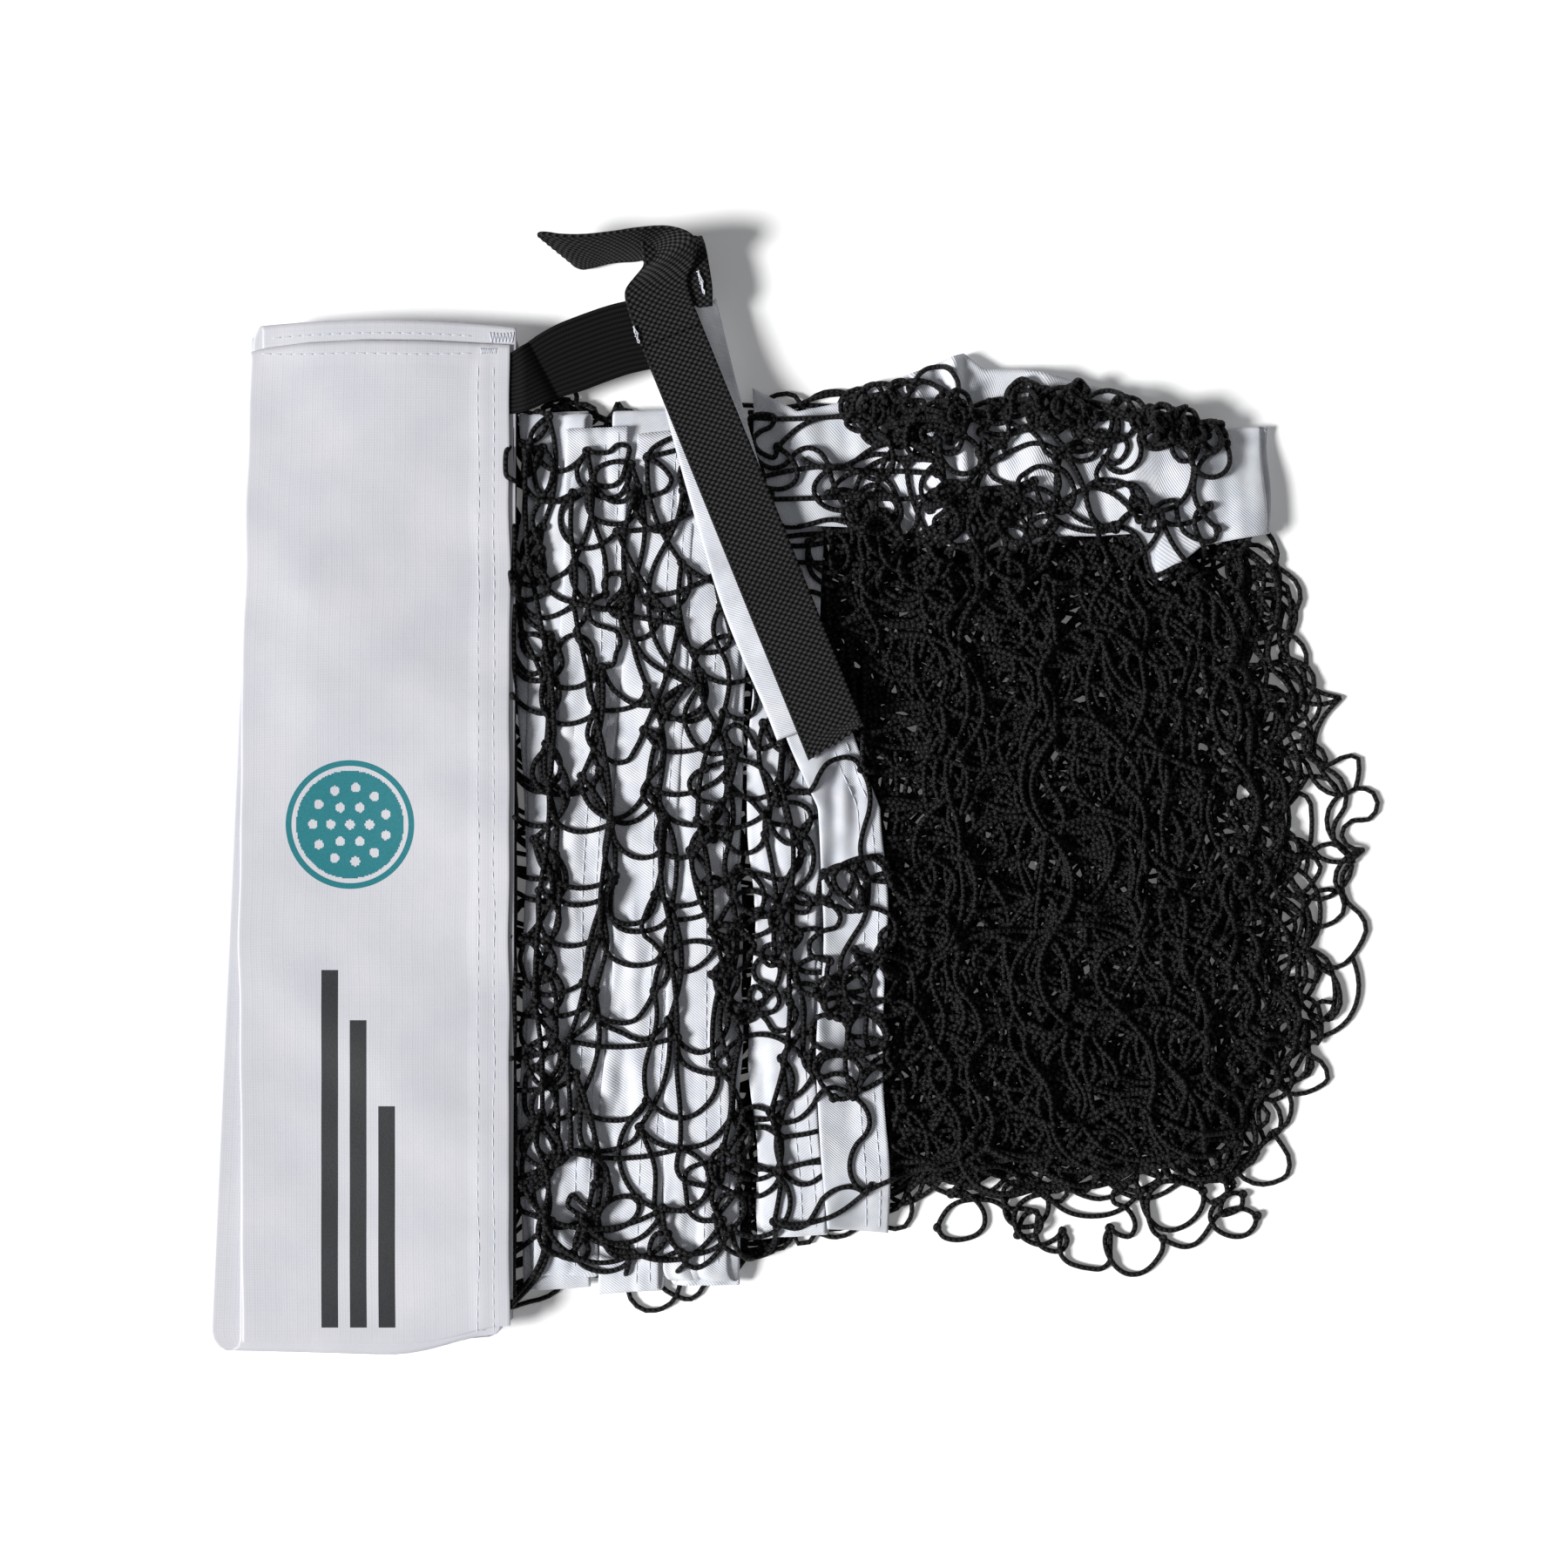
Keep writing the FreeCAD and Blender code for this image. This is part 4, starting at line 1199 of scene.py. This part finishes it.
def beside_seam(points, most=2.2 * MM):
    """Points over the headband are drawn back to its seam, but for the last few millimetres."""
    over = SEAM_X + 0.5 * MM - points[..., 0]
    points[..., 0] += np.where(over > 0, over - most * np.tanh(over / most), 0)
    return points


def fine_sheet(shape, leaf, columns, kind, plan=None):
    """Lays a sheet whose cords and knots are seen."""
    lines, knots = netting.lay(leaf, columns, kind, 9, 0.8, 90, plan)
    lines, knots = beside_seam(lines), beside_seam(knots)
    add_tubes(shape, lines, CORD_RADIUS, 7)
    add_knots(shape, knots, 10 * leaf + len(columns))
    ground.add_cords(knots + np.array([0, 0, 0.8 * MM]))


for leaf in range(DEEP_LEAVES + 1, STACK_LEAVES + 1):
    shape = Shape()
    fine_sheet(shape, leaf, OUT, "out")
    net_piece(shape, f"netting_upper_{leaf}", "folded_stack")

cover = ground.cover()
low, high = low_high("end_side_tape")
side_grid = side_tape(low[0] - 3 * MM, high[0] + 4 * MM, cover, 511, SIDE_PLEATS, 170)
tape = white_tape("side_tape_end", side_grid, 58 * MM, "end_leaf", "end_side_tape")
ground.add_cloth(side_grid)

low, high = low_high("end_bottom_tape")
under_strap = np.array([0, 25 * MM, 0])                 # the part under the strap's foot
end_tape_grid = tape_leaf(low, high + under_strap, 0, cover, 620, (23 * MM, 20 * MM), -9 * MM)
end_tape_grid[..., 2] += 0.5 * MM
tape = white_tape("bottom_tape_end", end_tape_grid, TAPE_WIDTH, "end_leaf", "end_bottom_tape")
tape_stitches("bottom_tape_end_stitches", end_tape_grid, "end_leaf")
ground.add_cloth(end_tape_grid)


def feet():
    """The lowest free knots of the last sheets out and back, as (knot, xyz)."""
    free = [ends[0] for (_, column), ends in netting.ends.items() if 0 < column < LAST_COLUMN]
    return np.array(free)


stack_feet = feet()
ground.add_cloth(leaf_grid[:150])
shape = Shape()
fine_sheet(shape, END_LEAF, BACK, "back")
edge_y = np.linspace(UPPER_HIGH[1] - 22 * MM, FOOT_OF_EDGE, 260)
edge = np.stack([SEAM_X + 1.7 * MM + 0.4 * MM * Ripples(81, 15 * MM, 60 * MM)(0, edge_y), edge_y,
                 0 * edge_y], -1)
edge[:, 2] = np.clip(ground.under(edge), 15 * MM, 17 * MM)
add_tubes(shape, edge[None], CORD_RADIUS, 7)
net_piece(shape, "netting_end_back", "end_leaf")

shape = Shape()
fine_sheet(shape, END_LEAF, OUT, "out")
net_piece(shape, "netting_end_out", "end_leaf")

draw = np.random.default_rng(77)


def bunch(shape, number, left, right, columns, rows, spread, highest=None):
    """Squares that lie bunched: knots in columns from left to right, with the rows' y, in mm."""
    across, down = np.meshgrid(np.linspace(left, right, columns), rows, indexing="ij")
    plan = np.stack([across, down], -1) + draw.normal(size=across.shape + (2,)) * spread
    if highest:
        most = np.interp(plan[..., 0], *highest)
        plan[..., 1] = np.minimum(plan[..., 1], most - draw.uniform(0, 7, most.shape))
    fine_sheet(shape, END_LEAF + number, list(range(1, columns + 1)), "end", plan * MM)


# Over the tapes of the end leaf, (from x, to x, columns, rows' y) in mm.
BUNCHES = ((24, 176, 8, (112, 144, 156, 167)), (36, 168, 6, (151, 158, 165)),
           (14, 104, 7, (90, 99, 108, 117)), (10, 42, 3, (-130, -112, -96, -80, -66, -52, -34)),
           (-31, -12, 2, (-98, -76, -56, -38, -20, -2)), (-18, 58, 3, (110, 122, 134, 146, 157)))
shape = Shape()
for number, place in enumerate(BUNCHES, 1):
    bunch(shape, number, *place, (8, 4), ((20, 110, 186), (169, 171, 149)))
net_piece(shape, "netting_end_top", "end_leaf")

# Loops that fell past the fold, from under the heap.
shape = Shape()
bunch(shape, 8, 56, 186, 6, (-188, -173), (7, 3))
net_piece(shape, "netting_foot", "folded_stack")

# The bars round the fold. Each goes along it.
ends = []
for knot in sorted(feet(), key=lambda knot: knot[0]):
    away = np.linalg.norm((stack_feet - knot)[:, :2], axis=1)
    best = np.argmin(np.abs(away - 0.9 * MESH_BAR))
    if 0.6 * MESH_BAR < away[best] < 0.97 * MESH_BAR:
        ends.append([knot, stack_feet[best]])
        stack_feet = np.delete(stack_feet, best, axis=0)
towards_fold = np.tile([0.0, -1.0], (len(ends), 1))
links = slack_shapes(np.array(ends), towards_fold, np.zeros(len(ends), bool), 9)
for number, line in enumerate(weave(ground, links, 0.8)):
    shape = Shape()
    add_tubes(shape, line[None], CORD_RADIUS, 7)
    link = shape.piece(f"netting_link_{number + 1}", cord_black)
    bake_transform(link)


# ---------------------------------------------------------------- the elastic and the corner strap

def long_strip(path, width, columns, heights, crown=0.0):
    """A strip's middle surface over a plan path (n, 2), with a height for each row."""
    u = np.linspace(-0.5, 0.5, columns)
    grid = np.zeros((len(path), columns, 3))
    grid[..., :2] = path[:, None] + to_the_right(path)[:, None] * (u * width)[None, :, None]
    grid[..., 2] = heights[:, None] + crown * (1 - 4 * u ** 2)
    return grid


def resting(path, width, cover, reach, blur):
    """How high a stiff strip lies over what is under it, along a plan path."""
    across = np.linspace(-0.5, 0.5, 9) * width
    spots = path[:, None] + to_the_right(path)[:, None] * across[None, :, None]
    tallest = cover(spots[..., 0], spots[..., 1]).max(1)
    padded = np.pad(tallest, reach, mode="edge")
    spread = np.max([padded[i:i + len(path)] for i in range(2 * reach + 1)], axis=0)
    weights = np.hanning(2 * blur + 3)[1:-1]
    padded = np.pad(spread, blur, mode="edge")
    return np.convolve(padded, weights / weights.sum(), mode="valid")


def smooth_path(points, count):
    """An evenly spaced plan path through a few points in mm, and its length."""
    line = resample(np.array([[(*p, 0.0) for p in points]]) * MM, 30)[0]
    lengths = lengths_along(line)
    return read_at(np.linspace(0, lengths[-1], count), lengths, line[:, :2]), float(lengths[-1])


cover = ground.cover(reach=2, blur=3)
path, elastic_length = smooth_path(
    ((-125.5, 168.8), (-121.5, 169.0), (-117.5, 170.2), (-110, 174.3), (-102, 178.4),
     (-88, 184.0), (-76, 188.0), (-63.5, 190.6), (-56, 191.6)), 120)
heights = np.maximum(resting(path, ELASTIC_WIDTH, cover, 10, 12) + 0.9 * MM, 15.5 * MM)
elastic_grid = long_strip(path, ELASTIC_WIDTH, 118, heights, 0.5 * MM)
waist = 1 - 0.16 * smooth(-95 * MM, -118 * MM, path[:, 0])[:, None, None]
elastic_grid[..., :2] = path[:, None] + (elastic_grid[..., :2] - path[:, None]) * waist
under_leaf = end_leaf_height(elastic_grid[..., 0], elastic_grid[..., 1]) - 1.3 * MM
out_of_it = smooth(SEAM_X + 0.8 * MM, SEAM_X + 7 * MM, elastic_grid[..., 0])
elastic_grid[..., 2] = under_leaf + out_of_it * (elastic_grid[..., 2] - under_leaf)
u = np.linspace(-0.5, 0.5, 118) * ELASTIC_WIDTH
elastic_grid[..., 2] += 0.16 * MM * np.sin(2 * np.pi * u / RIB_PITCH)
shape = Shape()
add_slab(shape, elastic_grid, WEB_THICK, *cloth_uvs(elastic_grid, ELASTIC_WIDTH))
elastic = settle_in(shape.piece("elastic", elastic_black), "end_leaf", "elastic", "elastic_band")
ground.add_cloth(elastic_grid[30:, ::4])
cover = ground.cover(reach=2, blur=3)

STRAP_LEAN = math.radians(22)
STRAP_DIRECTION = np.array([-math.sin(STRAP_LEAN), math.cos(STRAP_LEAN)])
STRAP_ASIDE = np.array([math.cos(STRAP_LEAN), math.sin(STRAP_LEAN)])
low, high = low_high("corner_strap_webbing")
STRAP_MIDDLE = ((low + high) / 2)[:2] + np.array([1.5, 2.5]) * MM

# The white tape under the strap crosses it at a small angle, and its free edge rolls under.
path, backing_length = smooth_path(((4, 25), (-1.5, 39), (-12, 63), (-21, 87), (-32.5, 126),
                                    (-43.5, 166), (-52, 201)), 150)
heights = resting(path, 30 * MM, cover, 6, 8) + 0.7 * MM
backing_grid = long_strip(path, BACKING_WIDTH, 26, heights)
t = np.linspace(0, 1, 150)[:, None]
u = np.linspace(0, 1, 26)[None, :]
roll = smooth(0.62, 1.0, u) * smooth(0.5, 0.75, t)
backing_grid[..., 2] += (1.8 * MM * smooth(0.35, 0.75, u) * smooth(0.5, 0.75, t)
                         - 6.0 * MM * roll ** 1.5)
ripple = Ripples(640, 12 * MM, 40 * MM)
backing_grid[..., 2] += 0.3 * MM * ripple(backing_grid[..., 0], backing_grid[..., 1])
ragged = Ripples(641, 2 * MM, 7 * MM, waves=11)
end_rows = smooth(0.985, 1.0, t[:, 0])[:, None]
backing_grid[..., :2] += (STRAP_DIRECTION * 0.8 * MM * (end_rows * ragged(
    backing_grid[..., 0], backing_grid[..., 1]))[..., None])
tape = white_tape("strap_backing", backing_grid, BACKING_WIDTH, "corner_strap",
                  "corner_strap_backing")
ground.add_cloth(backing_grid)

# The strap and its tail are one strip: flat up to the corner, then rolled over onto its edge.
cover = ground.cover(reach=2, blur=3)
STEP, WEB_COLUMNS = 0.36 * MM, 80                       # how finely the webbing is divided
FREE_END = 14 * MM                                      # of the strap, where the tail begins
count = int(2 * STRAP_HALF / STEP)
s = (np.arange(count) * STEP)[:, None]
path = STRAP_MIDDLE + STRAP_DIRECTION * (s - STRAP_HALF)
heights = resting(path, STRAP_WIDTH, cover, 40, 40) + 0.9 * MM


def weave_relief(u, v):
    """The webbing's raised picks, and the tighter selvage at both edges."""
    body = np.sin(2 * np.pi * u / PICK_ACROSS) * np.sin(2 * np.pi * v / PICK_ALONG)
    selvage = smooth(STRAP_WIDTH / 2 - 2.0 * MM, STRAP_WIDTH / 2 - 1.3 * MM, np.abs(u))
    cord = 0.8 * np.cos(np.pi * (np.abs(u) - STRAP_WIDTH / 2 + 1 * MM) / (2 * MM))
    return 0.17 * MM * (body * (1 - selvage) + cord * selvage)


def strap_rows(centres, asides, along):
    """The strap's middle surface with its weave, from centre lines and width directions."""
    u = np.linspace(-0.5, 0.5, WEB_COLUMNS) * STRAP_WIDTH
    grid = centres[:, None] + asides[:, None] * u[None, :, None]
    normal = unit(np.cross(asides, unit(np.gradient(centres, axis=0))))
    return grid + normal[:, None] * weave_relief(u[None, :], along)[..., None]


SPLIT = int((2 * STRAP_HALF - FREE_END) / STEP)
flat = np.concatenate([path, heights[:, None]], axis=1)
wide = np.tile([*STRAP_ASIDE, 0.0], (count, 1))
flat[:, 2] += 0.5 * MM * np.sin(np.pi * s[:, 0] / (66 * MM))
web = strap_rows(flat[:SPLIT + 1], wide[:SPLIT + 1], s[:SPLIT + 1])
fray = Ripples(650, 1.2 * MM, 4 * MM, waves=11)
across = np.linspace(-0.5, 0.5, WEB_COLUMNS)[None, :] * STRAP_WIDTH + 0 * s[:SPLIT + 1]
slant = smooth(9 * MM, 0, s[:SPLIT + 1]) * (0.17 * (across + STRAP_WIDTH / 2))
web[..., :2] += STRAP_DIRECTION * slant[..., None]
web[:3, :, :2] -= STRAP_DIRECTION * (0.5 * MM * (1 + fray(across[:3], 0 * across[:3])))[..., None]
shape = Shape()
add_slab(shape, web, WEB_THICK, across, s[:SPLIT + 1] + 0 * across)
strap = settle_in(shape.piece("strap", webbing_black), "corner_strap", "webbing",
                  "corner_strap_webbing")

face = web[4:40:6, 4:-4:4].transpose(1, 0, 2) + np.array([0, 0, WEB_THICK / 2])
shape = Shape()
row_of_stitches(shape, face, 0.55, 1 * MM, 1 * MM, 0.45 * MM, FOOT_PITCH, 0.3 * MM)
settle_in(shape.piece("strap_foot_stitches", thread_black), "corner_strap", "thread",
          "corner_strap_thread")

# Control points of the tail: the centre line in mm (None: on the strap), and its width's direction.
TAIL = (((-61.6, 209.2, None), (0.97, 0.23, 0.02)),
        ((-58.2, 216.8, None), (0.95, 0.28, 0.12)),
        ((-56.2, 223.4, 23.5), (0.80, 0.42, 0.43)),
        ((-61.5, 227.6, 18.5), (0.44, 0.44, 0.78)),
        ((-71, 227.5, 16.2), (0.14, 0.41, 0.90)),
        ((-80, 226.6, 15.2), (0.05, 0.37, 0.93)),
        ((-90, 225.2, 14.8), (0.02, 0.40, 0.91)),
        ((-98, 225.0, 14.6), (0.00, 0.40, 0.91)),
        ((-105, 226.0, 14.6), (0.00, 0.32, 0.94)))
corner_z = flat[-1, 2] / MM
centres = np.array([[x, y, corner_z - 0.4 if z is None else z] for (x, y, z), _ in TAIL]) * MM
asides = unit(np.array([way for _, way in TAIL]))


def swept(centres, asides, skew=0.0):
    """Webbing along control points: its middle surface, UVs and length. skew slants its cut end."""
    line = resample(centres[None], 24)[0]
    ways = unit(resample(asides[None], 24)[0])
    lengths = lengths_along(line)
    even = np.arange(0, lengths[-1], STEP)
    line, ways = read_at(even, lengths, line), unit(read_at(even, lengths, ways))
    across = np.linspace(-0.5, 0.5, WEB_COLUMNS)[None, :] * STRAP_WIDTH + 0 * even[:, None]
    along = even[:, None] + s[SPLIT, 0] + 0 * across
    grid = strap_rows(line, ways, along)
    ahead = unit(np.gradient(line, axis=0))[:, None]
    share = smooth(even[-1] - 26 * MM, even[-1], even)[:, None]
    corner = np.maximum(0, across / STRAP_WIDTH - 0.34) / 0.16
    grid = grid + ahead * (skew * share * (across / STRAP_WIDTH - 0.2 * corner ** 2))[..., None]
    return grid, across, along, float(even[-1])


tail_grid, across, along, tail_length = swept(np.concatenate([flat[SPLIT::13], centres]),
                                              np.concatenate([wide[SPLIT::13], asides]), 17 * MM)
shape = Shape()
add_slab(shape, tail_grid, WEB_THICK, across, along)
# And those of the doubled-back flap, with z from the strap's end.
FLAP = (((-51.4, 200, -1.7), (0.99, 0.10, 0.00)), ((-51.5, 208, -1.9), (0.99, 0.10, 0.00)),
        ((-52.8, 217, -2.2), (0.99, 0.12, -0.05)), ((-54.2, 225.5, -3.2), (0.98, 0.08, -0.14)),
        ((-55.5, 231.8, -6.5), (0.96, 0.00, -0.28)))
centres = np.array([[x, y, z + corner_z] for (x, y, z), _ in FLAP]) * MM
flap_grid, across, along, flap_length = swept(centres, unit(np.array([way for _, way in FLAP])))
add_slab(shape, flap_grid, WEB_THICK, across, along)
tail = shape.piece("strap_tail_end", webbing_black)
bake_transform(tail)
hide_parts("corner_strap_tail")


def loose_threads(name, start, stop, strands, base_z):
    """Frayed ends of white thread on webbing, from one plan point in mm to another."""
    draw = np.random.default_rng(660)
    shape = Shape()
    for _ in range(strands):
        t = np.linspace(0, 1, 14)[:, None]
        ends = np.array([start, stop]) + draw.normal(size=(2, 2)) * 0.5
        plan = ends[0] + (ends[1] - ends[0]) * t + draw.normal(size=(14, 2)) * 0.28
        z = base_z / MM + 0.9 + 0.5 * np.sin(np.pi * t[:, 0]) + draw.uniform(0, 0.3)
        add_tubes(shape, np.column_stack([plan, z])[None] * MM, 0.24 * MM, 5)
    return shape.piece(name, thread_white)


web_top = web[-16, 4:12, 2].mean() + 0.2 * MM
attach(loose_threads("loose_threads_strap", (-70.6, 192.4), (-68.2, 185.6), 3, web_top),
        "corner_strap")
flap_top = flap_grid[20:40, 60:, 2].mean() + 0.2 * MM
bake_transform(loose_threads("loose_threads_tail", (-43.6, 216.0), (-41.0, 206.4), 4, flap_top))


# ---------------------------------------------------------------- floor, lights and camera

def light(name, kind, place, energy):
    """A light that looks at the middle of the floor."""
    data = bpy.data.lights.new(name, kind)
    data.energy = energy
    lamp = bpy.data.objects.new(name, data)
    lamp.location = place
    lamp.rotation_euler = (-Vector(place)).to_track_quat("-Z", "Y").to_euler()
    bpy.context.scene.collection.objects.link(lamp)
    return data


bpy.ops.mesh.primitive_plane_add(size=60, location=(0, 0, -0.4 * MM))
floor = bpy.context.object
floor.name = "floor"
paper = Finish("floor_paper", (0.95, 0.95, 0.95), 0.9, 0.2)
paper.shader.inputs["Emission Color"].default_value = (1, 1, 1, 1)
paper.shader.inputs["Emission Strength"].default_value = 0.10
floor.data.materials.append(paper.material)

# The key light shines as from far away, so that the floor is as pale further off as it is here.
light("key_light", "SUN", (-2.5, -0.6, 2.2), 4.7).angle = math.radians(17)
light("fill_light", "AREA", (0.9, 0.2, 2.6), 6).size = 2.6
world = bpy.data.worlds.new("room")
bpy.context.scene.world = world
world.use_nodes = True
sky = world.node_tree.nodes["Background"].inputs
sky["Color"].default_value = (0.93, 0.96, 1.0, 1)
sky["Strength"].default_value = 0.115

lens = bpy.data.cameras.new("camera")
lens.lens, lens.sensor_width = 100, 36
camera = bpy.data.objects.new("camera", lens)
camera.location = (-0.008, 0.001, 1.845)
bpy.context.scene.collection.objects.link(camera)
bpy.context.scene.camera = camera
bpy.context.scene.view_settings.view_transform = "Standard"
